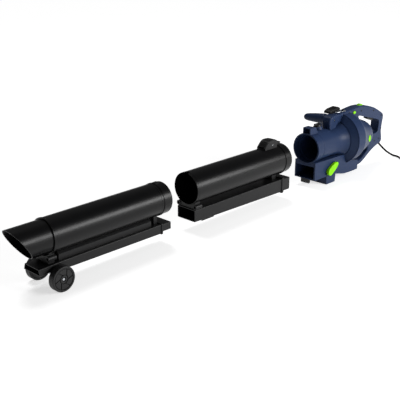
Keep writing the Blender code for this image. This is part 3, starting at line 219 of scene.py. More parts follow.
# Rubber is dull and takes no sharp highlight; PVC plugs are a little glossier. Nickel and zinc
# plating are bright, with a soft-edged highlight: nickel warm, zinc cool.
RUBBER = moulded("rubber_sheath_extruded", "#09090A", 0.6, 0.001, 0.00015, specular=0.08)
PVC = moulded("pvc_moulded_black", "#0A0A0B", 0.45, 0.0012, 0.0001, specular=0.15)
PIN_BRASS = metal("brass_nickel_plated", "#C9C6BD", 0.22, 0.0011)
ZINC = metal("steel_zinc_plated", "#BFC2C6", 0.26, 0.0011)


def to_object(bm):
    bmesh.ops.remove_doubles(bm, verts=bm.verts, dist=1e-7)
    bmesh.ops.recalc_face_normals(bm, faces=bm.faces)
    mesh = bpy.data.meshes.new("solid")
    bm.to_mesh(mesh)
    bm.free()
    return placed("solid", mesh)


def round_angles(count):
    return [2 * pi * i / count for i in range(count)]


def turned(profile, segments=96, axis=(1, 0, 0), centre=(0, 0, 0), squash=1.0):
    """Turns a closed (along, radius) profile about an axis; squash narrows it across."""
    bm = bmesh.new()
    along = Vector(axis).normalized()
    side = along.cross(Vector((0, 1, 0)))
    side = along.cross(Vector((0, 0, 1))) if side.length < 0.5 else side
    side.normalize()
    across = along.cross(side)
    rings = []
    for position, radius in profile:
        base = Vector(centre) + along * position
        if radius == 0:
            rings.append([bm.verts.new(base)] * segments)
            continue
        rings.append([bm.verts.new(base + radius * (cos(a) * side + squash * sin(a) * across))
            for a in round_angles(segments)])
    for first, second in zip(rings, rings[1:] + rings[:1]):
        for i in range(segments):
            j = (i + 1) % segments
            corners = []
            for vert in (first[i], first[j], second[j], second[i]):
                if vert not in corners:
                    corners.append(vert)
            if len(corners) > 2:
                bm.faces.new(corners)
    return to_object(bm)


def cylinder(radius, start, end, *where):
    """A plain cylinder from start to end; where is as in turned."""
    return turned([(start, 0), (start, radius), (end, radius), (end, 0)], *where)


def loft(sections):
    bm = bmesh.new()
    rings = [[bm.verts.new(point) for point in section] for section in sections]
    count = len(rings[0])
    for first, second in zip(rings, rings[1:]):
        for i in range(count):
            j = (i + 1) % count
            bm.faces.new((first[i], first[j], second[j], second[i]))
    bm.faces.new(rings[0])
    bm.faces.new(rings[-1])
    return to_object(bm)


def slab(outline, low, high, plane="XZ", rounding=0.0, steps=3):
    """Extrudes an outline square to its plane, with rounded rims if asked."""
    def point(a, b, level):
        return {"XZ": (a, level, b), "YZ": (level, a, b), "XY": (a, b, level)}[plane]
    made = loft([[point(a, b, level) for a, b in outline] for level in (low, high)])
    if rounding:
        bm = bmesh.new()
        bm.from_mesh(made.data)
        caps = sorted(bm.faces, key=lambda face: len(face.verts))[-2:]
        rim = [edge for cap in caps for edge in cap.edges]
        bmesh.ops.bevel(bm, geom=rim, offset=rounding, segments=steps, profile=0.5, affect="EDGES")
        bmesh.ops.recalc_face_normals(bm, faces=bm.faces)
        bm.to_mesh(made.data)
        bm.free()
    return made


def box(x, y, z):
    """A box between pairs of limits; y may be a half width instead."""
    low, high = y if isinstance(y, tuple) else (-y, y)
    return slab([(x[0], z[0]), (x[1], z[0]), (x[1], z[1]), (x[0], z[1])], low, high)


def rod(start, end, radius, segments=24, end_radius=None):
    start, end = Vector(start), Vector(end)
    length = (end - start).length
    tip = radius if end_radius is None else end_radius
    return turned([(0, 0), (0, radius), (length, tip), (length, 0)], segments, end - start, start)


def cross_rod(x, z, half, radius, segments=24):
    """A rod square to the middle plane."""
    return rod((x, -half, z), (x, half, z), radius, segments)


def cross_pin(x, z, half, radius, chamfer, segments):
    """A cross rod with chamfered ends, the chamfer given along and inwards."""
    along, inwards = chamfer
    return turned([(-half, 0), (-half, radius - inwards), (along - half, radius), (half - along, radius),
        (half, radius - inwards), (half, 0)], segments, (0, 1, 0), (x, 0, z))


def modified(target, kind, **settings):
    """Adds a modifier, sets it or its node tree's sockets, applies it and takes it off."""
    modifier = target.modifiers.new("step", kind)
    for key, value in settings.items():
        if hasattr(modifier, key):
            setattr(modifier, key, value)
        else:
            modifier[key] = value
    bpy.context.view_layer.update()
    graph = bpy.context.evaluated_depsgraph_get()
    result = bpy.data.meshes.new_from_object(target.evaluated_get(graph))
    target.modifiers.clear()
    target.data = result
    return target


def combine(target, tools, operation):
    for tool in tools:
        modified(target, "BOOLEAN", operation=operation, solver="EXACT", object=tool)
        bpy.data.objects.remove(tool, do_unlink=True)
    return target


def add(target, *tools):
    return combine(target, tools, "UNION")


def cut(target, *tools):
    return combine(target, tools, "DIFFERENCE")


def dress(made, name, node, material, edge=0.0, angle=30):
    """Puts a piece in its place, softens its edges and hands it to the body of its CAD node."""
    x = SECTION_X.get(body_of[node], MOTOR_X)
    made.name = name
    made.data.transform(Matrix.Translation((x, 0, AXIS)))
    if edge:
        bm = bmesh.new()
        bm.from_mesh(made.data)
        bmesh.ops.remove_doubles(bm, verts=bm.verts, dist=2e-6)
        bmesh.ops.dissolve_limit(bm, angle_limit=radians(0.6), verts=bm.verts, edges=bm.edges)
        bm.to_mesh(made.data)
        bm.free()
        modified(made, "BEVEL", width=edge, segments=2, limit_method="ANGLE", angle_limit=radians(35),
            use_clamp_overlap=True, miter_outer="MITER_ARC")
    made.data.materials.clear()
    made.data.materials.append(material)
    made.data.shade_smooth()
    made.data.set_sharp_from_angle(angle=radians(angle))
    modified(made, "WEIGHTED_NORMAL", keep_sharp=True, weight=50)
    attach(made, body_of[node])
    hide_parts(node)
    return made


def spline_points(points, per, closed=False):
    """Catmull-Rom points through a list, closed or open."""
    points = [Vector(p) for p in points]
    if closed:
        points = [points[-1]] + points + points[:2]
    else:
        points = [2 * points[0] - points[1]] + points + [2 * points[-1] - points[-2]]
    made = []
    for p0, p1, p2, p3 in zip(points, points[1:], points[2:], points[3:]):
        for step in range(per):
            t = step / per
            made.append(0.5 * (2 * p1 + (p2 - p0) * t + (2 * p0 - 5 * p1 + 4 * p2 - p3) * t * t
                + (3 * p1 - p0 - 3 * p2 + p3) * t ** 3))
    return made if closed else made + [points[-2]]


def mm(points, *origin):
    """Points given in millimetres from an origin, as metres."""
    start = (*origin, 0, 0, 0)
    return [tuple(round(value / 1000, 7) + at for value, at in zip(point, start)) for point in points]


def smooth(points, per, closed=False):
    return [tuple(p) for p in spline_points(points, per, closed)]


PLUG_HALF = 0.0105
floor_z = FLOOR + CORD_R + GAP
plug_z = FLOOR + PLUG_HALF + GAP
exit_start = Vector((HOUSING_U + 0.2537, 0, -0.0516))
exit_end = exit_start + Vector((0.029, 0, -0.0264))
guard_length = (exit_end - exit_start).length
cord_exit = exit_end + (exit_end - exit_start).normalized() * GAP
route = [tuple(cord_exit), (0.5, -0.001, -0.0921), (0.515, -0.004, -0.105), (0.53, -0.009, -0.118),
    (0.542, -0.017, -0.128), (0.549, -0.028, -0.1345), (0.551, -0.041, floor_z), (0.546, -0.056, floor_z),
    (0.534, -0.072, floor_z), (0.52, -0.095, floor_z), (0.508, -0.125, floor_z), (0.501, -0.16, floor_z),
    (0.5, -0.182, -0.134), (0.5, -0.203, plug_z), (0.5, -0.212, plug_z), (0.5, -0.215, plug_z)]
line = [p + Vector((MOTOR_X, 0, AXIS)) for p in spline_points(route, 6)]
lead_curve = bpy.data.curves.new("mains_lead", "CURVE")
lead_curve.dimensions = "3D"
lead_curve.bevel_depth = CORD_R
lead_curve.bevel_resolution = 5
lead_curve.use_fill_caps = True
lead_line = lead_curve.splines.new("POLY")
lead_line.points.add(len(line) - 1)
for target, point in zip(lead_line.points, line):
    target.co = (*point, 1)
lead_curve.materials.append(RUBBER)
lead = placed("mains_lead", lead_curve)
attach(lead, "motor_unit")
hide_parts("cord")

guard_rings = [(0.0075 + 0.0032 * i + d, 0.0073 - 0.00038 * i - (0.0009 if d in (0.001, 0.0022) else 0))
    for i in range(8) for d in (0.0, 0.001, 0.0022, 0.0031)]
guard = turned([(0, 0), (0, 0.0075), (0.006, 0.0075)] + guard_rings
    + [(guard_length, 0.0044), (guard_length, 0)], 40, exit_end - exit_start, exit_start)
guard_piece = dress(guard, "lead_guard", "cord_guard", RUBBER)
plug_x, plug_y = route[-1][0], route[-1][1] - GAP
plug = turned(mm([(0, 0), (0, 5.6), (0.6, 6), (10, 7.2), (13, 8.4), (16, 10.3)])
    + [(0.018, PLUG_HALF), (0.033, PLUG_HALF), (0.035, 0.0102), (0.036, 0.0093), (0.036, 0)], 48, (0, -1, 0),
    (plug_x, plug_y, plug_z))
widen = Matrix.Translation((plug_x, 0, 0)) @ Matrix.Scale(1.35, 4, (1, 0, 0))
plug.data.transform(widen @ Matrix.Translation((-plug_x, 0, 0)))
plug_piece = dress(plug, "plug_moulding", "plug_body", PVC)
for side, label in ((-1, "left"), (1, "right")):
    pin = turned(mm([(0, 0), (0, 2.4), (17.2, 2.4), (18.4, 1.8), (18.7, 0.8), (18.7, 0)]), 24, (0, -1, 0),
        (plug_x + side * 0.0085, plug_y - 0.0363, plug_z))
    dress(pin, "plug_contact_" + label, "plug_pin_" + label, PIN_BRASS)

# NOZZLE SECTION
# The suction tubes are blow-moulded polypropylene, near black with a soft satin sheen and a very
# fine grain. The blow tubes under them are injection moulded with a coarser, duller grain, and
# screwed saddles hold each pair together.
SATIN = moulded("polypropylene_blow_moulded_satin", "#060607", 0.31, 0.0011, 0.00006, specular=0.2)
DULL = moulded("polypropylene_injection_grained", "#0F0F10", 0.44, 0.0009, 0.00012, specular=0.25)
NOZZLE_R = 0.0475
TUBE_WALL = 0.0022
nozzle_end = -0.384
spigot_n = NOZZLE_R - GAP
tip_r = NOZZLE_R - TUBE_WALL - GAP


def rect(x, half_top, top, bottom, corner=0.0025, half_bottom=None):
    """A rounded cross-section of a blow tube; top and bottom are depths below the axis."""
    half_bottom = half_bottom or half_top
    corners = [(-half_top, -top, 1, -1), (half_top, -top, -1, -1), (half_bottom, -bottom, -1, 1),
        (-half_bottom, -bottom, 1, 1)]
    made = []
    for index, (y, z, inward_y, inward_z) in enumerate(corners):
        for step in range(6):
            angle = radians(180 - 90 * index - 18 * step)
            made.append((x, y + inward_y * corner + corner * cos(angle),
                z + inward_z * corner + corner * sin(angle)))
    return made


tube = turned(mm([(27, -0.8), (26.2, -0.2), (25, 0), (0, 0)], 0, spigot_n)
    + mm([(0, 48.7), (-0.4, 49), (-4.6, 49), (-5, 48.7)])
    + mm([(-5, 0), (-11, 0), (-11.5, 0.4), (-13.5, 0.4), (-14, 0)], 0, NOZZLE_R)
    + [(nozzle_end + 0.006, NOZZLE_R)] + mm([(6, 48.7), (5.5, 49), (0.6, 49), (0, 48.5)], nozzle_end)
    + [(nozzle_end, NOZZLE_R - TUBE_WALL), (0.027, NOZZLE_R - TUBE_WALL)])
add(tube, box((-0.001, 0.013), 0.0075, (spigot_n - 0.001, 0.0497)),
    box((nozzle_end, nozzle_end + 0.006), 0.006, (0.047, 0.049)))
dress(tube, "nozzle_suction_tube", "nozzle_tube", SATIN)

# The tip slants back towards the floor; its mouth has a small rounded lip.
TIP_TOP, TIP_BOTTOM = 0.107, 0.05
tip = turned([(nozzle_end + 0.015, tip_r), (nozzle_end - TIP_TOP, tip_r),
    (nozzle_end - TIP_TOP, tip_r - 0.002), (nozzle_end + 0.015, tip_r - 0.002)], 128)
lean = (TIP_TOP - TIP_BOTTOM) / (2 * tip_r)
tip_middle = nozzle_end - (TIP_TOP + TIP_BOTTOM) / 2
cut(tip, slab([(tip_middle - lean * 0.08, 0.08), (tip_middle + lean * 0.08, -0.08), (nozzle_end - 0.3, -0.08),
    (nozzle_end - 0.3, 0.08)], -0.08, 0.08))
dress(tip, "nozzle_slanted_tip", "nozzle_tip", SATIN, edge=0.0007)

# The blow tube: a rounded box section, a fairing up to the suction tube, and a flat flared outlet.
AXLE = (nozzle_end + 0.0115, FLOOR + 0.035)
half = 0.0323
top, rear_low, front_low = 0.068, 0.0968, 0.0939
thick = 0.0022
spigot_half = half - 0.0018
blow = loft([rect(-0.001, half, top, rear_low), rect(AXLE[0] + 0.052, half, top, front_low),
    rect(AXLE[0] + 0.019, half, top + 0.0003, front_low - 0.002),
    rect(AXLE[0], half, top + 0.001, front_low - 0.005),
    rect(nozzle_end - 0.01, half, top + 0.0016, front_low - 0.0053, half_bottom=half + 0.0008),
    rect(nozzle_end - 0.042, half - 0.0013, top + 0.0027, front_low - 0.0054, half_bottom=half + 0.0032)])
fairing = slab([(-0.0227, -top - 0.001), (0.0227, -top - 0.001), (0.0227, -0.0524), (0.0155, -0.0465),
    (-0.0155, -0.0465), (-0.0227, -0.0524)], nozzle_end + 0.026, -0.036, "YZ")
cut(fairing, cylinder(NOZZLE_R + GAP, -0.5, 0.1))
flange = loft([rect(x, half + 0.002, top - 0.002, rear_low + 0.002) for x in (-0.006, -0.001)])
spigot = loft([rect(x, spigot_half, top + 0.002, rear_low - 0.0043, 0.002) for x in (-0.002, 0.0335)])
add(blow, fairing, flange, spigot)
narrow = spigot_half - thick
hollow = loft([rect(0.0435, narrow, top + 0.0042, rear_low - 0.0065, 0.001),
    rect(-0.001, narrow, top + 0.0042, rear_low - 0.0065, 0.001),
    rect(-0.012, half - thick, top + thick, rear_low - thick, 0.001),
    rect(AXLE[0] + 0.052, half - thick, top + thick, front_low - thick, 0.001),
    rect(AXLE[0], half - thick, top + 0.0032, front_low - 0.0072, 0.001),
    rect(nozzle_end - 0.052, half - 0.0035, top + 0.0052, front_low - 0.0077, 0.001,
    half_bottom=half + 0.0016)])
cut(blow, hollow, box((nozzle_end + 0.029, -0.039), 0.0195, (-top - 0.006, -0.0535)))
for side in (-1, 1):
    lug_y = side * 0.0265
    add(blow, slab([(AXLE[0] - 0.01, -front_low + 0.0056), (AXLE[0] + 0.01, -front_low + 0.005),
        (AXLE[0] + 0.0062, AXLE[1] - 0.0042), (AXLE[0] + 0.0032, AXLE[1] - 0.0055),
        (AXLE[0] - 0.0032, AXLE[1] - 0.0055), (AXLE[0] - 0.0062, AXLE[1] - 0.0042)], lug_y - 0.0025,
        lug_y + 0.0025))
cut(blow, cross_rod(*AXLE, 0.05, 0.0043))
dress(blow, "nozzle_blow_duct", "nozzle_blow_tube", DULL, edge=0.0004)


BOSS_Z, NOZZLE_BOSS_Y = -0.0525, 0.027


def front_saddle(x, boss_x, y, radius, low, high, bore, name, node):
    """A saddle between the two tubes with a screw boss at each end."""
    made = box(x, y, (low, -0.034))
    add(made, *[rod((boss_x[0], side * y, BOSS_Z), (boss_x[1], side * y, BOSS_Z), radius, 48)
        for side in (-1, 1)])
    cut(made, cylinder(bore, -0.6, 0.5), *[rod((boss_x[0] - 0.001, side * y, BOSS_Z),
        (boss_x[0] + 0.006, side * y, BOSS_Z), high, 32) for side in (-1, 1)])
    dress(made, name, node, DULL, edge=0.0006)


def rear_saddle(x, low, bore, name, node):
    """A plain saddle between the two tubes."""
    made = box(x, 0.018, (low, -0.04))
    cut(made, cylinder(bore, -0.1, 0.5))
    dress(made, name, node, DULL, edge=0.0005)


front_saddle((nozzle_end - 0.01, nozzle_end + 0.01), (nozzle_end - 0.0125, nozzle_end + 0.0125), NOZZLE_BOSS_Y,
    0.0075, -top + GAP, 0.0042, 0.049 + GAP, "nozzle_front_saddle", "nozzle_front_bracket")
rear_saddle((-0.022, -0.009), -top + GAP, NOZZLE_R + GAP, "nozzle_rear_saddle", "nozzle_rear_bracket")

# SCREWS
# Pan heads with a cross recess, in steel that black oxide leaves dark grey with a dull sheen. Geometry Nodes
# make one, a disc with a narrowed top less two crossed slots, and set it on every given point.
SCREW_STEEL = metal("steel_black_oxide", "#3A3B3E", 0.34, 0.0012)


def screw_tree():
    tree = bpy.data.node_groups.new("cross_head_screws", "GeometryNodeTree")
    for key, kind in (("Places", "Geometry"), ("Head Radius", "Float"), ("Head Height", "Float"),
            ("Turn", "Vector"), ("Finish", "Material")):
        tree.interface.new_socket(key, in_out="INPUT", socket_type="NodeSocket" + kind)
    tree.interface.new_socket("Screws", in_out="OUTPUT", socket_type="NodeSocketGeometry")
    given = tree.nodes.new("NodeGroupInput").outputs
    narrow, long, thin, rise = (add_node(tree, "ShaderNodeMath", {"operation": "MULTIPLY", 1: share},
        {0: given[key]}).outputs[0] for key, share in (("Head Radius", 0.84), ("Head Radius", 1.15),
        ("Head Radius", 0.26), ("Head Height", 0.95)))
    head = add_node(tree, "GeometryNodeMeshCone", {"Vertices": 32, "Side Segments": 3},
        {"Radius Bottom": given["Head Radius"], "Radius Top": narrow, "Depth": given["Head Height"]})
    sizes = [add_node(tree, "ShaderNodeCombineXYZ", {}, {"X": x, "Y": y, "Z": given["Head Height"]})
        for x, y in ((long, thin), (thin, long))]
    bars = [add_node(tree, "GeometryNodeMeshCube", {}, {"Size": size.outputs[0]}) for size in sizes]
    lift = add_node(tree, "ShaderNodeCombineXYZ", {}, {"Z": rise})
    lifted = [add_node(tree, "GeometryNodeTransform", {},
        {"Geometry": bar.outputs["Mesh"], "Translation": lift.outputs[0]}) for bar in bars]
    cross = add_node(tree, "GeometryNodeMeshBoolean", {"operation": "DIFFERENCE"},
        {"Mesh 1": head.outputs["Mesh"]})
    for bar in lifted:
        tree.links.new(bar.outputs[0], cross.inputs["Mesh 2"])
    spread = add_node(tree, "GeometryNodeInstanceOnPoints", {},
        {"Points": given["Places"], "Instance": cross.outputs["Mesh"], "Rotation": given["Turn"]})
    real = add_node(tree, "GeometryNodeRealizeInstances", {}, {"Geometry": spread.outputs[0]})
    finish = add_node(tree, "GeometryNodeSetMaterial", {},
        {"Geometry": real.outputs[0], "Material": given["Finish"]})
    add_node(tree, "NodeGroupOutput", {}, {"Screws": finish.outputs[0]})
    return tree


SCREWS = screw_tree()
socket_key = {item.name: item.identifier for item in SCREWS.interface.items_tree if item.in_out == "INPUT"}


def screws(name, body, places, turn, radius=0.0032, height=0.0016):
    """Screw heads on the given points, turned so that their tops face outwards, for one body."""
    x = SECTION_X.get(body, MOTOR_X)
    points = bpy.data.meshes.new(name)
    points.from_pydata([(x + a, b, AXIS + c) for a, b, c in places], [], [])
    made = placed(name, points)
    inputs = {"Head Radius": radius, "Head Height": height, "Turn": turn, "Finish": SCREW_STEEL}
    modified(made, "NODES", node_group=SCREWS, **{socket_key[key]: value for key, value in inputs.items()})
    made.data.shade_smooth()
    made.data.set_sharp_from_angle(angle=radians(35))
    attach(made, body)


face_front = (0, -pi / 2, 0)
screws("nozzle_saddle_screws", "nozzle", [(nozzle_end - 0.0082, side * NOZZLE_BOSS_Y, BOSS_Z)
    for side in (-1, 1)], face_front)

# WHEELS
# Two small wheels moulded in nylon, greyer and a little softer in sheen than the tubes, turn on a
# zinc-plated axle and are held by push nuts. The face is six raised sectors round a hub ring.
WHEEL_BLACK = moulded("nylon_wheel_moulded", "#1B1B1C", 0.46, 0.0011, 0.0001, specular=0.3)
WHEEL_R, WHEEL_Y, WHEEL_HALF = 0.035, 0.051, 0.0105
wheel_in, wheel_out = WHEEL_Y - WHEEL_HALF, WHEEL_Y + WHEEL_HALF
dress(cross_pin(*AXLE, wheel_out - 0.002, 0.004, (0.0008, 0.0006), 40), "wheel_axle", "axle", ZINC)
for side, label in ((-1, "near"), (1, "far")):
    centre = (AXLE[0], 0, AXLE[1])
    facing = (0, side, 0)
    wheel = turned(mm([(0, 4.3), (0, 10.5), (0.5, 11), (3, 13)], wheel_in)
        + mm([(3, -6.5), (0.4, -4.2), (0, -3), (0.6, -1.2), (2.2, 0)], wheel_in, WHEEL_R)
        + mm([(-0.6, 0), (0, -0.5), (0.6, 0)], WHEEL_Y, WHEEL_R)
        + mm([(-2.2, 0), (-0.6, -0.8), (0, -2.6), (0, -5.6), (-0.4, -6), (-4, -6.4)], wheel_out, WHEEL_R)
        + mm([(-4.4, 11.2), (-1.4, 10.8), (-1, 10.4), (-1, 6.6), (-1.4, 6.2), (-4, 6.2), (-4, 4.3)],
        wheel_out), 96, facing, centre)
    for sector in range(6):
        turn = 2 * pi * sector / 6 + 0.3
        outline = []
        for radius, span in ((WHEEL_R - 0.0076, 1), (0.0128, -1)):
            for step in range(13):
                share = (step / 12 - 0.5) * span
                angle = turn + share * (2 * pi / 6 - 0.0026 / radius) + (0.35 if radius > 0.02 else 0.0)
                outline.append((AXLE[0] + radius * cos(angle), AXLE[1] + radius * sin(angle)))
        low, high = sorted((side * (wheel_out - 0.005), side * (wheel_out - 0.0008)))
        add(wheel, slab(outline, low, high))
    dress(wheel, "wheel_moulding_" + label, "wheel_" + label, WHEEL_BLACK, edge=0.0003)
    clip = turned(mm([(-2.8, 4.3), (-2.8, 8), (-2.4, 8.5), (-0.8, 8.5)], wheel_in)
        + [(wheel_in - GAP, 0.008), (wheel_in - GAP, 0.0043)], 48, facing, centre)
    dress(clip, "axle_push_nut_" + label, "axle_clip_" + label, ZINC)

# MIDDLE SECTION
# Made like the nozzle section. The suction tube has a key slot in its mouth and a spigot behind,
# and its blow tube deepens to the rear. Two pads of dull black rubber are pressed on underneath.
MID_R = 0.05
SPIGOT_M = MID_R - 0.0002
socket_m = spigot_n + 0.0008
bore_m = socket_m - 0.0007
shoulder = 0.423
tube = turned([(0, socket_m + 0.0003)] + mm([(0, -0.6), (0.6, 0), (7, 0), (7.3, 0.4), (9.2, 0.4), (9.5, 0)], 0,
    MID_R) + mm([(-5, 0), (-5, 1.5), (-4.6, 1.8), (-0.4, 1.8), (0, 1.5)], shoulder, MID_R)
    + mm([(0, 0), (25, 0), (26.4, -0.3), (27, -0.8)], shoulder, SPIGOT_M)
    + [(shoulder + 0.027, bore_m), (0.03, bore_m), (0.03, socket_m), (0.0005, socket_m)])
cut(tube, box((-0.001, 0.0145), 0.0085, (0.04, 0.06)))
dress(tube, "middle_suction_tube", "mid_tube", SATIN)

half = 0.0368
top, front_low, rear_low = 0.0607, 0.0985, 0.1065
flange_at = shoulder - 0.004
low_slope = (rear_low - front_low) / flange_at
blow = loft([rect(0, half, top, front_low), rect(flange_at, half, top, rear_low)])
add(blow, loft([rect(x, half + 0.0022, top - 0.0042, rear_low + 0.004) for x in (shoulder - 0.008, shoulder)]),
    loft([rect(x, half + 0.0002, top + 0.0018, rear_low - 0.0015)
    for x in (shoulder - 0.001, shoulder + 0.0335)]))
inside = half - thick
cut(blow, loft([rect(-0.01, inside, top + thick, front_low - thick, 0.0012),
    rect(shoulder - 0.012, inside, top + thick, rear_low - 0.0023, 0.0012),
    rect(shoulder - 0.002, inside, top + 0.004, rear_low - 0.0037, 0.0012),
    rect(shoulder + 0.0435, inside, top + 0.004, rear_low - 0.0037, 0.0012)]))
dress(blow, "middle_blow_duct", "mid_blow_tube", DULL, edge=0.0004)
MID_BOSS_Y = 0.034
front_saddle((0.004, 0.024), (0.0015, 0.0265), MID_BOSS_Y, 0.0077, -top + GAP, 0.0046, MID_R + 0.0004 + GAP,
    "middle_front_saddle", "mid_front_bracket")
rear_saddle((shoulder - 0.038, shoulder - 0.018), -top + GAP, MID_R + GAP,
    "middle_rear_saddle", "mid_rear_bracket")
screws("middle_saddle_screws", "mid_section", [(0.0068, side * MID_BOSS_Y, BOSS_Z) for side in (-1, 1)],
    face_front, 0.0036)
FOOT_RUBBER = moulded("rubber_foot_moulded", "#0A0A0B", 0.62, 0.001, 0.0002, specular=0.15)
for label, start, end, slope, depth in (("front", 0.031, 0.1, 0.012, 0.008),
        ("rear", shoulder - 0.058, shoulder - 0.031, 0.006, 0.0048)):
    at_start, at_end = -front_low - low_slope * start, -front_low - low_slope * end
    foot = slab([(start, at_start - GAP), (end, at_end - GAP), (end - slope / 2, at_end - depth),
        (start + slope, at_end - depth)], -0.026, 0.026, rounding=0.0015)
    dress(foot, "middle_%s_pad" % label, "mid_%s_foot" % label, FOOT_RUBBER)

# LATCH
# A wedge-shaped saddle moulded with two cheeks sits on the tube. A plated pin across it carries the rocking
# lever, satin polypropylene with a ribbed thumb slope, whose nose hooks into the next tube's collar.
LATCH_M, LATCH_Z, LATCH_HALF = shoulder - 0.038, 0.059, 0.0105
CHEEK_OUT, SADDLE_TOP = 0.0175, 0.051
hump = mm([(-39, 46), (-39, 53.2), (-34.5, 58), (-26.5, 66), (-20.5, 71.2), (-16.5, 73.5), (-11.5, 74.8),
    (-6, 75.3), (6, 74.9), (16.5, 74.1), (18.8, 73.2), (20.5, 70.5), (22.5, 66), (21.5, 46)], LATCH_M)
base = slab([(a, min(b, SADDLE_TOP)) for a, b in hump], -CHEEK_OUT, CHEEK_OUT)
for side in (-1, 1):
    low, high = sorted((side * (LATCH_HALF + 0.0005), side * CHEEK_OUT))
    add(base, slab(hump, low, high))
cut(base, cylinder(MID_R + GAP, 0, shoulder), cross_rod(LATCH_M, LATCH_Z, 0.02, 0.0023))
dress(base, "latch_saddle", "latch_base", DULL, edge=0.0009)
dress(cross_pin(LATCH_M, LATCH_Z, CHEEK_OUT, 0.002, (0.0003, 0.0003), 32), "latch_cross_pin", "latch_pin",
    ZINC)
lever_path = mm([(-35, 56), (-35, 58.5), (-26.5, 66.4), (-20.5, 71.6), (-16.5, 73.9), (-11.5, 75.2),
    (-6, 75.7), (6, 75.3), (16.5, 74.5), (19.5, 73.3), (22.5, 69)], LATCH_M)
lever = slab(lever_path + mm([(2, 62.5), (9.2, 61.5), (9.8, 60.9), (10, 57.6), (9.2, 57), (2, 55.8)],
    shoulder) + mm([(15, 56.2), (0, 55.6), (-13, 56.2)], LATCH_M), -LATCH_HALF, LATCH_HALF)
cut(lever, cross_rod(LATCH_M, LATCH_Z, 0.02, 0.0023),
    *[box((LATCH_M - 0.03 + 0.003 * i, LATCH_M - 0.0288 + 0.003 * i), 0.0085, (0.0622 + 0.0027 * i, 0.09))
    for i in range(5)])
dress(lever, "latch_lever_moulding", "latch_lever", SATIN, edge=0.0005)

# MOTOR UNIT: INLET TUBE AND FAN COVER
# Navy ABS, injection moulded with the fine eroded grain of a power-tool housing; the sheen is soft
# and even. The inlet tube flares into the dished fan cover, which closes the front of the drum.
NAVY = moulded("abs_housing_navy_grained", "#243352", 0.38, 0.0008, 0.00007, 0.03, specular=0.14)
COLLAR_SOCKET_R = SPIGOT_M + 0.0008
COLLAR_R = COLLAR_SOCKET_R + 0.0025
TAIL_R, FLARE_R, COVER_FRONT_R, DRUM_R, BAND_R = 0.06, 0.0655, 0.069, 0.092, 0.0945
HANDLE_HALF, WALL = 0.018, 0.003
DUCT_HALF, DUCT_FLOOR = 0.044, 0.109
COVER_U = HOUSING_U - 0.0223
TAIL_END = HOUSING_U - 0.0103
flare_start = COVER_U - 0.053
flare = smooth([(flare_start, COLLAR_R - 0.0024)] + mm([(-32, 52.8), (-18, 56.5), (-7, 61.5)], COVER_U)
    + [(COVER_U - GAP, FLARE_R)], 5)
bore_flare = [(u, r - WALL) for u, r in flare[:11]]
inlet = turned([(0, COLLAR_SOCKET_R + 0.0004)] + mm([(0, 1.2), (0.3, 2), (1.1, 2.5), (3.7, 2.5), (4.5, 1.8),
    (5, 0), (35.5, 0), (36, -0.5), (36.8, -1.9), (40, -1.9), (40.7, -1.4), (41.5, -1.1)], 0, COLLAR_R) + flare
    + [(COVER_U - GAP, TAIL_R), (TAIL_END, TAIL_R), (TAIL_END, TAIL_R - WALL),
    (COVER_U - 0.008, FLARE_R - 0.0085)] + bore_flare[::-1]
    + [(0.035, 0.0465), (0.034, 0.047), (0.032, 0.047), (0.032, COLLAR_SOCKET_R), (0.0006, COLLAR_SOCKET_R)],
    128)
hood = slab([(0, COLLAR_R - 0.002)] + mm([(0, 72.5), (0.5, 73.6), (1.8, 74.2), (29, 74.2), (31, 73.6),
    (33.5, 70.5), (36, 66), (40, 59.5), (43.2, 56)]) + [(0.044, COLLAR_R - 0.0025)], -0.016, 0.016)
cut(hood, cylinder(COLLAR_R - 0.0015, -0.01, 0.06, 128))
add(inlet, hood)
cut(inlet, box((-0.001, 0.02), LATCH_HALF + 0.002, (COLLAR_R + 0.0009, 0.0717)))
dress(inlet, "inlet_collar_tube", "inlet_tube", NAVY, edge=0.0005)

cone_end = HOUSING_U - 0.0083
cover = turned([(COVER_U, TAIL_R + GAP), (COVER_U, COVER_FRONT_R - 0.0006), (COVER_U + 0.0004, COVER_FRONT_R),
    (cone_end - 0.0004, DRUM_R - 0.0012), (cone_end, DRUM_R), (cone_end, BAND_R - 0.0008),
    (cone_end + 0.0008, BAND_R), (HOUSING_U - 0.0009, BAND_R), (HOUSING_U - GAP, BAND_R - 0.0006),
    (HOUSING_U - GAP, DRUM_R - WALL), (cone_end, DRUM_R - WALL), (COVER_U + 0.0034, COVER_FRONT_R - 0.001),
    (COVER_U + 0.0034, TAIL_R + GAP)], 144)
raised_end = HOUSING_U - 0.0093
arch_low = 0.064
cut(cover, box((COVER_U - 0.01, raised_end + GAP), DUCT_HALF + GAP, (-0.12, -0.0492)),
    box((COVER_U - 0.01, HOUSING_U + 0.01), HANDLE_HALF + GAP, (arch_low - GAP, 0.12)))
dress(cover, "fan_cover_moulding", "fan_cover", NAVY, edge=0.0004)


# HOUSING AND HANDLE
# Two halves moulded in the same navy ABS meet on the middle plane and are screwed together: fan
# drum, motor barrel and the arched handle over them.
def inset(outline, distance):
    """The outline moved inwards by a distance, or outwards where it is negative."""
    area = sum(a[0] * b[1] - b[0] * a[1] for a, b in zip(outline, outline[1:] + outline[:1]))
    turn = 1 if area > 0 else -1
    moved = []
    for i, here in enumerate(outline):
        before, after = Vector(outline[i - 1]), Vector(outline[(i + 1) % len(outline)])
        one = (Vector(here) - before).normalized()
        two = (after - Vector(here)).normalized()
        normal = Vector((-one.y - two.y, one.x + two.x)).normalized()
        reach = distance / max(0.5, normal.dot(Vector((-one.y, one.x))))
        moved.append(tuple(Vector(here) + turn * reach * normal))
    return moved


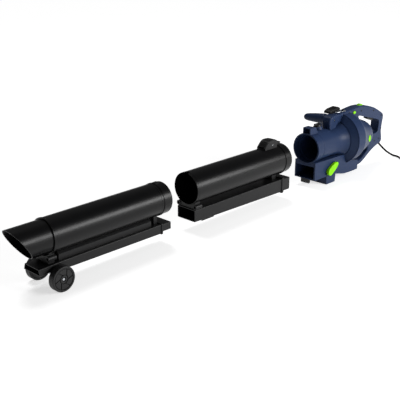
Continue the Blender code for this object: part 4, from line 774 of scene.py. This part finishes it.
DROP = 0.01
barrel = smooth([(0.0347, DRUM_R, 0)] + mm([(39, 91.2, 0), (42.7, 88.8, 0.4), (61.7, 80, 3), (79.7, 73.7, 6),
    (109.7, 64, 9.4)]) + mm([(139.7, 54, 0), (155.7, 47, 0), (167.7, 38, 0), (175.7, 27, 0), (179.7, 15, 0)],
    0, 0, DROP), 4) + [(0.1806, 0.009, DROP), (0.1809, 0.004, DROP)]


def ring(u, radius, drop, count=128):
    return [(u, radius * cos(a), radius * sin(a) - drop) for a in round_angles(count)]


def barrel_skin(inward, front):
    """The drum and barrel, drawn in by a wall and starting at a distance from the mouth."""
    return loft([ring(front, DRUM_R - inward, 0)] + [ring(HOUSING_U + at, max(radius - inward, 0.002), drop)
        for at, radius, drop in barrel])


arch = smooth(mm([(-88.3, 76), (-83.3, 90), (-67.3, 96.5), (-40.3, 97.5), (-22.8, 96.5), (12.2, 98.5),
    (53.2, 102.5), (94.7, 104.5), (139.7, 100), (177.7, 90.5), (210.7, 79), (246.7, 61), (267.7, 48),
    (272.2, 36), (267.2, 6), (264.7, -18), (270.7, -46), (270.2, -60), (261.7, -68), (244.7, -72),
    (219.7, -80), (189.7, -93), (154.7, -113), (129.7, -123.5), (99.7, -126.2), (60, -126.2), (60, -108),
    (99.7, -109), (129.7, -106), (149.7, -96), (169.7, -84), (174.7, -70), (159.7, -50), (99.7, -10),
    (39.7, 40), (14.7, 72.5), (-0.3, 71.2), (-15.3, 68), (-25.5, 64.5), (-40.3, 59), (-48.3, 52), (-50.3, 44),
    (-60.3, 42), (-75.3, 42), (-83.3, 46), (-86.3, 60)], HOUSING_U), 6, True)
window = smooth(mm([(95.7, 68), (139.7, 57.5), (180.7, 46.5), (215.7, 36.5), (235.7, 28.5), (241.7, 18),
    (239.7, -4), (234.7, -17), (209.7, -22), (179.7, -18), (149.7, 0), (109.7, 45)], HOUSING_U), 8, True)
duct_end = HOUSING_U + 0.068
shell = barrel_skin(0, HOUSING_U)
handle = slab(arch, -HANDLE_HALF, HANDLE_HALF, rounding=0.0055, steps=6)
tube_room = turned([(0.05, 0), (0.05, COLLAR_R - 0.0011 + GAP)] + [(u, r + 0.001) for u, r in flare]
    + [(COVER_U, FLARE_R + 0.001), (COVER_U, 0)], 128)
cut(handle, slab(window, -0.05, 0.05), tube_room, box((HOUSING_U + 0.05, duct_end + GAP), 0.05,
    (-0.14, -0.095)))
add(shell, handle)
chamber_r = DRUM_R - WALL
WEB_END = HOUSING_U + 0.0377
chamber = turned([(HOUSING_U - 0.01, 0), (HOUSING_U - 0.01, chamber_r), (WEB_END - 0.006, chamber_r)]
    + mm([(-6, 11.3), (1, 11.3), (1, 0)], WEB_END), 96)
motor_room = loft([ring(WEB_END, 0.083, 0, 96)] + [ring(HOUSING_U + at, radius - WALL, drop, 96)
    for at, radius, drop in barrel if 0.06 < at < 0.168])
handle_hollow = slab(inset(arch, WALL + 0.001), -HANDLE_HALF + WALL, HANDLE_HALF - WALL)
cut(handle_hollow, slab(inset(window, -WALL), -0.05, 0.05), barrel_skin(0, HOUSING_U),
    box((0.0, HOUSING_U + 0.0427), 0.05, (-0.1, 0.12)),
    box((HOUSING_U, duct_end + WALL), 0.05, (-0.14, -0.095)))
dial_u, dial_z, DIAL_R, DIAL_WIDTH = HOUSING_U + 0.1237, 0.0907, 0.0165, 0.013
trigger_pivot, trigger_half = (HOUSING_U + 0.174, 0.0541), 0.0083
lock_u, lock_z, LOCK_FACE, LOCK_SQUASH = HOUSING_U + 0.0627, 0.087, -0.0135, 0.6
hub = Vector((HOUSING_U - 0.0603, 0, 0.079))
brush_u, brush_z, BRUSH_HALF, BRUSH_TALL = HOUSING_U + 0.1017, -0.01, 0.0075, 1.65
outlet = box((HOUSING_U + 0.0047, HOUSING_U + 0.0297), 0.03, (-0.1, -0.07))
dial_slot = box((dial_u - DIAL_R - 0.0015, dial_u + DIAL_R + 0.0015), DIAL_WIDTH / 2 + 0.0005,
    (dial_z - 0.002, 0.12))
trigger_slot = slab(mm([(-5, -11.5), (44, -25), (44, 5.5), (-5, 5.5)], *trigger_pivot), -trigger_half - 0.0005,
    trigger_half + 0.0005)
lock_hole = cylinder(0.0093, 0, 0.02, 64, (0, -1, 0), (lock_u, LOCK_FACE, lock_z), LOCK_SQUASH)
guard_seat = rod(exit_start, exit_end, 0.0078, 40, CORD_R + 0.0013)
cut(shell, chamber, motor_room, handle_hollow, outlet, dial_slot, trigger_slot, lock_hole, guard_seat,
    cross_rod(hub.x, hub.z, 0.05, 0.004, 40))
pocket = smooth(mm([(156, 64), (162, 65.5), (176, 71.5), (185, 77), (187, 85), (180, 89), (168, 86),
    (158.5, 74)]), 6, True)
VENT_R = 0.0562
for side in (-1, 1):
    low, high = sorted((side * (HANDLE_HALF - 0.0022), side * 0.03))
    cut(shell, slab(pocket, low, high))
    cut(shell, cylinder(BRUSH_HALF + GAP, 0.05, 0.09, 64, (0, side, 0), (brush_u, 0, brush_z), BRUSH_TALL))
    for slot in range(4):
        tilt = radians(-58 + 32 * slot)
        vent = Vector((HOUSING_U + 0.1332, side * VENT_R * cos(tilt), VENT_R * sin(tilt) - DROP))
        cut(shell, rod(vent - Vector((0.011, 0, 0)), vent + Vector((0.011, 0, 0)), 0.002, 16))
for side, label in ((-1, "near"), (1, "far")):
    half_shell = placed("solid", shell.data.copy())
    low, high = (-GAP / 2, 0.2) if side < 0 else (-0.2, GAP / 2)
    cut(half_shell, box((0.0, 0.6), (low, high), (-0.2, 0.2)))
    dress(half_shell, "housing_half_" + label, "housing_" + label, NAVY, edge=0.0003)
bpy.data.objects.remove(shell, do_unlink=True)

# BLOW DUCT, FOOT AND BAG PORT
# The navy ABS duct runs under the inlet tube from the mouth to the scroll, and the motor unit
# stands on its foot. The mouth's hook and the oval port pushed into the far side are black.
FOOT_AT = 0.099
duct_side = [(0, -0.045), (raised_end, -0.05), (raised_end, -0.077)] + mm([(-3.8, -78), (61.7, -88.5),
    (68, -88.5), (68, -122.5), (66.5, -123.8), (51.7, -124.7), (34.2, -125), (9.7, -124.6), (-11.3, -123.6),
    (-26.3, -121.5), (-40.3, -118.5), (-52.3, -115.5), (-63.8, -113), (-80.3, -110.3)],
    HOUSING_U) + [(FOOT_AT + 0.001, -DUCT_FLOOR), (0, -DUCT_FLOOR)]
duct = slab(duct_side, -DUCT_HALF, DUCT_HALF)
cut(duct, turned([(-0.02, 0), (-0.02, COLLAR_R + 0.0029), (0.0055, COLLAR_R + 0.0029),
    (0.0055, COLLAR_R + 0.0004)] + [(u, r + GAP) for u, r in flare[3:-1] if r > COLLAR_R]
    + [(COVER_U, FLARE_R + GAP), (COVER_U, COVER_FRONT_R + 0.001), (raised_end + 0.0001, DRUM_R),
    (raised_end + 0.0001, BAND_R + GAP), (HOUSING_U, BAND_R + GAP), (HOUSING_U, DRUM_R + GAP),
    (HOUSING_U + 0.01, DRUM_R + GAP), (HOUSING_U + 0.01, 0)], 144), barrel_skin(-GAP, HOUSING_U + 0.009))
inner = DUCT_HALF - 0.0025
floor_in = -DUCT_FLOOR + 0.0025
front_room = slab([(0.036, -0.058), (flare_start, -0.058), (COVER_U - 0.018, -0.0615), (COVER_U, -0.0715),
    (raised_end - 0.0025, -0.0715), (raised_end - 0.0025, -0.12)]
    + mm([(-40.3, -116), (-63.8, -110.5)], HOUSING_U) + [(FOOT_AT + 0.001, floor_in), (0.036, floor_in)],
    -inner, inner)
rear_room = slab(mm([(-14.3, -97.5), (-6.8, -97.5), (-6.8, -70), (35, -70), (39.7, -87.5), (61.7, -91.2),
    (65.5, -91.2), (65.5, -120.5), (34.2, -122.5), (-14.3, -120.3)], HOUSING_U), -inner, inner)
port_at, port_half, port_wide = Vector((HOUSING_U + 0.0317, 0, -0.1055)), 0.027, 2.1
selector = Vector((0.078, 0, -0.0925))
cut(duct, box((-0.001, 0.0375), 0.0385, (-0.1065, -0.0605)), front_room, rear_room,
    rod((selector.x, -0.06, selector.z), (selector.x, 0.0, selector.z), 0.0048),
    cylinder(port_half - 0.003, inner - 0.01, DUCT_HALF + 0.01, 96, (0, 1, 0), port_at, 1 / port_wide))
dress(duct, "blow_duct_moulding", "blow_duct", NAVY, edge=0.0016)
foot = slab([(FOOT_AT - 0.02875, -DUCT_FLOOR - GAP), (FOOT_AT + 0.001, -DUCT_FLOOR - GAP),
    (FOOT_AT + 0.02875, -DUCT_FLOOR - 0.0038), (FOOT_AT + 0.02575, FLOOR), (FOOT_AT - 0.02575, FLOOR)],
    -DUCT_HALF, DUCT_HALF)
cut(foot, *[box((FOOT_AT - 0.018, FOOT_AT + 0.018), side, (FLOOR - 0.01, FLOOR + 0.008))
    for side in ((-0.036, -0.012), (0.012, 0.036))])
dress(foot, "standing_foot", "foot_block", NAVY, edge=0.0008)
hook = slab([(0.0005, -DUCT_FLOOR - GAP), (0.022, -DUCT_FLOOR - GAP)]
    + mm([(22, -6), (12, -6), (10, -16), (2, -16)], 0, -DUCT_FLOOR), -0.017, 0.017)
dress(hook, "duct_mouth_hook", "mouth_hook", DULL, edge=0.0006)
start, far = DUCT_HALF + GAP, DUCT_HALF + GAP + 0.016
port = turned(mm([(0, -3), (0, 2.6), (0.4, 3), (2.6, 3), (3, 2.6), (3, 0)], start, port_half)
    + mm([(-3, 0), (-2.7, 1.2), (-2.2, 1.5), (-0.6, 1.5), (0, 0.9), (0, -2.4), (-0.5, -3)], far, port_half),
    112, (0, 1, 0), port_at, 1 / port_wide)
dress(port, "bag_port_stub", "bag_port", DULL)

# SELECTOR
# A lever outside the duct wall turns a flap inside it between blowing and vacuuming. It is moulded
# in lime ABS, polished in the mould: a clean bright colour with a crisp highlight.
LIME = moulded("abs_lime_gloss", "#8BE000", 0.32, 0.0012, 0.00004, 0.02, specular=0.14)
flap_half = inner - 0.0015
lever_in = -DUCT_HALF - 0.0012
leaf = [(0.0175 * cos(radians(d)), 0.0175 * sin(radians(d))) for d in range(115, 316, 8)]
leaf += smooth(mm([(20, -8), (30, -1), (47, 14), (53, 23.5), (51, 31), (42, 35), (24, 32), (6, 24)]), 5)
leaf_middle, leaf_scale = (0.017, 0.009), 0.83
leaf = [(selector.x + leaf_middle[0] + (a - leaf_middle[0]) * leaf_scale,
    selector.z + leaf_middle[1] + (b - leaf_middle[1]) * leaf_scale) for a, b in leaf]
dress(slab(leaf, lever_in - 0.0115, lever_in, rounding=0.0022, steps=5), "selector_knob", "selector_lever",
    LIME)
flap = cross_rod(selector.x, selector.z, flap_half, 0.004, 40)
add(flap, box((selector.x - 0.0135, selector.x + 0.033), (-flap_half + 0.0004, flap_half - 0.0004),
    (selector.z - 0.0013, selector.z + 0.0013)), rod((selector.x, lever_in + GAP, selector.z),
    (selector.x, -flap_half + 0.004, selector.z), 0.0045, 40))
dress(flap, "air_flap", "diverter_flap", DULL, edge=0.0003)

# SIDE GRIP, TUBE LOCK KNOB, STRAP LUG AND RING
# The navy ABS grip turns on a plated pin through the handle, and the black knob in a boss on the
# inlet tube. The ribbed black lug sits on the handle; a bent steel wire ring hangs in its own eye.
grip_root = Vector((hub.x, HANDLE_HALF + GAP, hub.z))
along = hub + Vector((-0.001, 0.114, -0.007)) - grip_root
grip_len = along.length
grip = turned(mm([(0, 0), (0, 15.8), (0.7, 16.5), (3, 17.6), (6, 18.1), (12, 18.2), (20, 17.8), (35, 17),
    (50, 16.2)]) + mm([(-32, 14.9), (-20, 13.7), (-13, 12.6), (-8, 11.2), (-4.5, 9.3), (-2, 6.8), (-0.5, 3.5),
    (0, 0)], grip_len), 72, along, grip_root)
cut(grip, box((0, 0.3), (-0.1, HANDLE_HALF + GAP), (-0.1, 0.2)),
    rod((hub.x, 0, hub.z), (hub.x, grip_root.y + 0.028, hub.z), 0.004, 40))
dress(grip, "side_grip_moulding", "side_grip", NAVY)
dress(rod((hub.x, -HANDLE_HALF + 0.002, hub.z), (hub.x, grip_root.y + 0.0277, hub.z), 0.0037, 40), "grip_bolt",
    "grip_pin", ZINC)

tilt = radians(72)
outward = Vector((0, cos(tilt), sin(tilt)))
boss_base = Vector((0.088, 0, 0)) + outward * 0.046
boss = turned(mm([(0, 0), (0, 18.5), (14.4, 17.1), (15, 16.5), (15, 0)]), 96, outward, boss_base)
cut(boss, cylinder(COLLAR_R - 0.0008, 0.0, 0.2, 128), cylinder(0.015, 0.013, 0.02, 96, outward, boss_base))
dress(boss, "knob_seat", "knob_boss", NAVY)
knob = turned(mm([(13.3, 0), (13.3, 14.5), (20, 14.5), (21.2, 14.1), (22.2, 13.2), (22.5, 12.4), (22.5, 0)]),
    96, outward, boss_base)
wing = slab(mm([(-13.5, -2.5), (13.5, -2.5), (13.5, 2.5), (-13.5, 2.5)]), 0.0215, 0.029, "XY", 0.001)
lengthwise = Vector((1, 0, 0))
turn_up = Matrix((lengthwise, -outward.cross(lengthwise), outward)).transposed().to_4x4()
wing.data.transform(Matrix.Translation(boss_base) @ turn_up)
add(knob, wing)
dress(knob, "lock_knob_moulding", "lock_knob", DULL, edge=0.0004)

lug = slab(mm([(-58.3, 98.5), (-22.8, 99.5), (3.7, 101), (3.7, 110), (-4.3, 115), (-40.3, 112), (-56.3, 106)],
    HOUSING_U), 0.004, 0.033, rounding=0.002)
for rib in range(5):
    at = HOUSING_U - 0.0463 + 0.009 * rib
    cut(lug, box((at, at + 0.0035), (0.0, 0.04), (0.1095 + 0.00036 * rib, 0.13)))
over_arch = [(a, b + GAP) for a, b in arch]
cut(lug, slab(over_arch, -0.03, 0.05))
dress(lug, "strap_lug_ribbed", "strap_lug", DULL, edge=0.0003)
eye = Vector((HOUSING_U + 0.0072, 0, 0.103))
ring_path = mm([(0, -10), (-1, -14.5), (-6, -16), (-40, -12), (-46, -7), (-40, -2), (-6, 2), (-1, 0.5),
    (0, -4)])
WIRE_R, WIRE_SIDES, UP = 0.0013, 16, Vector((0, 0, 1))
wire = bmesh.new()
wire_line = [Vector((a, b, 0)) for a, b in smooth(ring_path, 10, True)]
wire_rings = []
for i, here in enumerate(wire_line):
    ahead = (wire_line[(i + 1) % len(wire_line)] - wire_line[i - 1]).normalized()
    side = ahead.cross(UP)
    wire_rings.append([wire.verts.new(eye + here + WIRE_R * (cos(a) * side + sin(a) * UP))
        for a in round_angles(WIRE_SIDES)])
for first, second in zip(wire_rings, wire_rings[1:] + wire_rings[:1]):
    for k in range(WIRE_SIDES):
        j = (k + 1) % WIRE_SIDES
        wire.faces.new((first[k], first[j], second[j], second[k]))
dress(to_object(wire), "strap_wire_ring", "strap_ring", ZINC, angle=60)
eye_block = box((eye.x - 0.004, eye.x + 0.006), (-0.0093, -0.0047), (0.09, eye.z + 0.0035))
cut(eye_block, slab(over_arch, -0.05, 0.05), rod((eye.x, -0.03, eye.z), (eye.x, 0.02, eye.z), 0.0019, 32))
dress(eye_block, "ring_eye_block", "ring_eye", DULL, edge=0.0005)

# CONTROLS
# All moulded: a notched lime speed dial in the handle's top, a lime lock button on its near side
# and the black trigger under it. Two lime covers close the barrel over the motor's brushes.
inner_y = HANDLE_HALF - WALL - GAP
dial = cross_pin(dial_u, dial_z, DIAL_WIDTH / 2, DIAL_R, (0.0008, 0.0008), 120)
add(dial, cross_rod(dial_u, dial_z, inner_y, 0.003, 32))
for notch in range(20):
    angle = 2 * pi * notch / 20
    spot = Vector((dial_u + (DIAL_R + 0.0006) * cos(angle), 0, dial_z + (DIAL_R + 0.0006) * sin(angle)))
    cut(dial, rod(spot + Vector((0, -0.01, 0)), spot + Vector((0, 0.01, 0)), 0.0014, 16))
dress(dial, "speed_thumbwheel", "speed_dial", LIME)
dress(turned(mm([(-8, 0), (-8, 6), (-0.6, 6), (-0.6, 9), (6, 9), (7, 8.6), (7.5, 7.8), (7.7, 6), (7.8, 0)]),
    72, (0, -1, 0), (lock_u, LOCK_FACE, lock_z), LOCK_SQUASH), "lock_push_button", "lock_button", LIME)
trigger_low = smooth(mm([(-3.5, -11), (5, -14), (19, -20), (30, -23.2), (38, -22.5), (40, -18)]), 5)
trigger = slab([(trigger_pivot[0] + a, trigger_pivot[1] + b)
    for a, b in [(-0.0035, 0.0045)] + trigger_low + [(0.04, -0.0045), (0.011, 0.0035)]], -trigger_half,
    trigger_half)
cut(trigger, cross_rod(*trigger_pivot, 0.02, 0.0018))
dress(trigger, "trigger_moulding", "trigger", DULL, edge=0.001)
for side, label in ((-1, "near"), (1, "far")):
    cap = turned([(0.056, 0), (0.056, 0.0068), (0.059, BRUSH_HALF), (0.0676, BRUSH_HALF)]
        + mm([(68.6, 7.2), (69.1, 6.6), (69.2, 6), (69.2, 4.4), (68.6, 4), (68.6, 0)]), 72, (0, side, 0),
        (brush_u, 0, brush_z), BRUSH_TALL)
    dress(cap, "brush_cap_" + label, "brush_cover_" + label, LIME)

# HOUSING SCREWS
# Black steel, like the saddles' screws, and smaller. They join the two halves, sunk into the
# handle's near face and the barrel's root, one at each moulded pillar.
handle_face = -HANDLE_HALF - 0.0002
screws("housing_screws", "motor_unit", [(a, handle_face, b)
    for a, b in mm([(30, 92), (112, 85), (196, 72), (254, 44), (258, -8), (250, -48), (218, -52)], HOUSING_U)],
    (pi / 2, 0, 0), 0.003, 0.0012)

# MOTOR AND FAN
# These CAD pieces stay as they are, inside the housing, and get their real materials: brown
# varnished laminations, wound copper, bright drawn and ground steel, and dull black mouldings.
INNER_FINISH = {"rotor": metal("iron_laminated_varnished", "#6B4A33", 0.42, 0.0015, (8, 1, 1)),
    "stator": metal("copper_wound_enamelled", "#A4562C", 0.38, 0.0016, (1, 6, 6)),
    "motor_can": metal("steel_deep_drawn_plated", "#AEB0B3", 0.36, 0.0014, (0.2, 1, 1)),
    "bearing_front": metal("steel_bearing_ground", "#B8BABD", 0.22, 0.0011), "trigger_pin": ZINC,
    "fan_impeller": moulded("polyamide_glass_filled_black", "#151516", 0.5, 0.001, 0.00012),
    "switch_block": moulded("phenolic_moulded_black", "#17171A", 0.45, 0.0012, 0.0001)}
INNER_FINISH["bearing_rear"] = INNER_FINISH["bearing_front"]
for node_name, finish in INNER_FINISH.items():
    for slot in frame["nodes"][node_name].material_slots:
        slot.material = finish
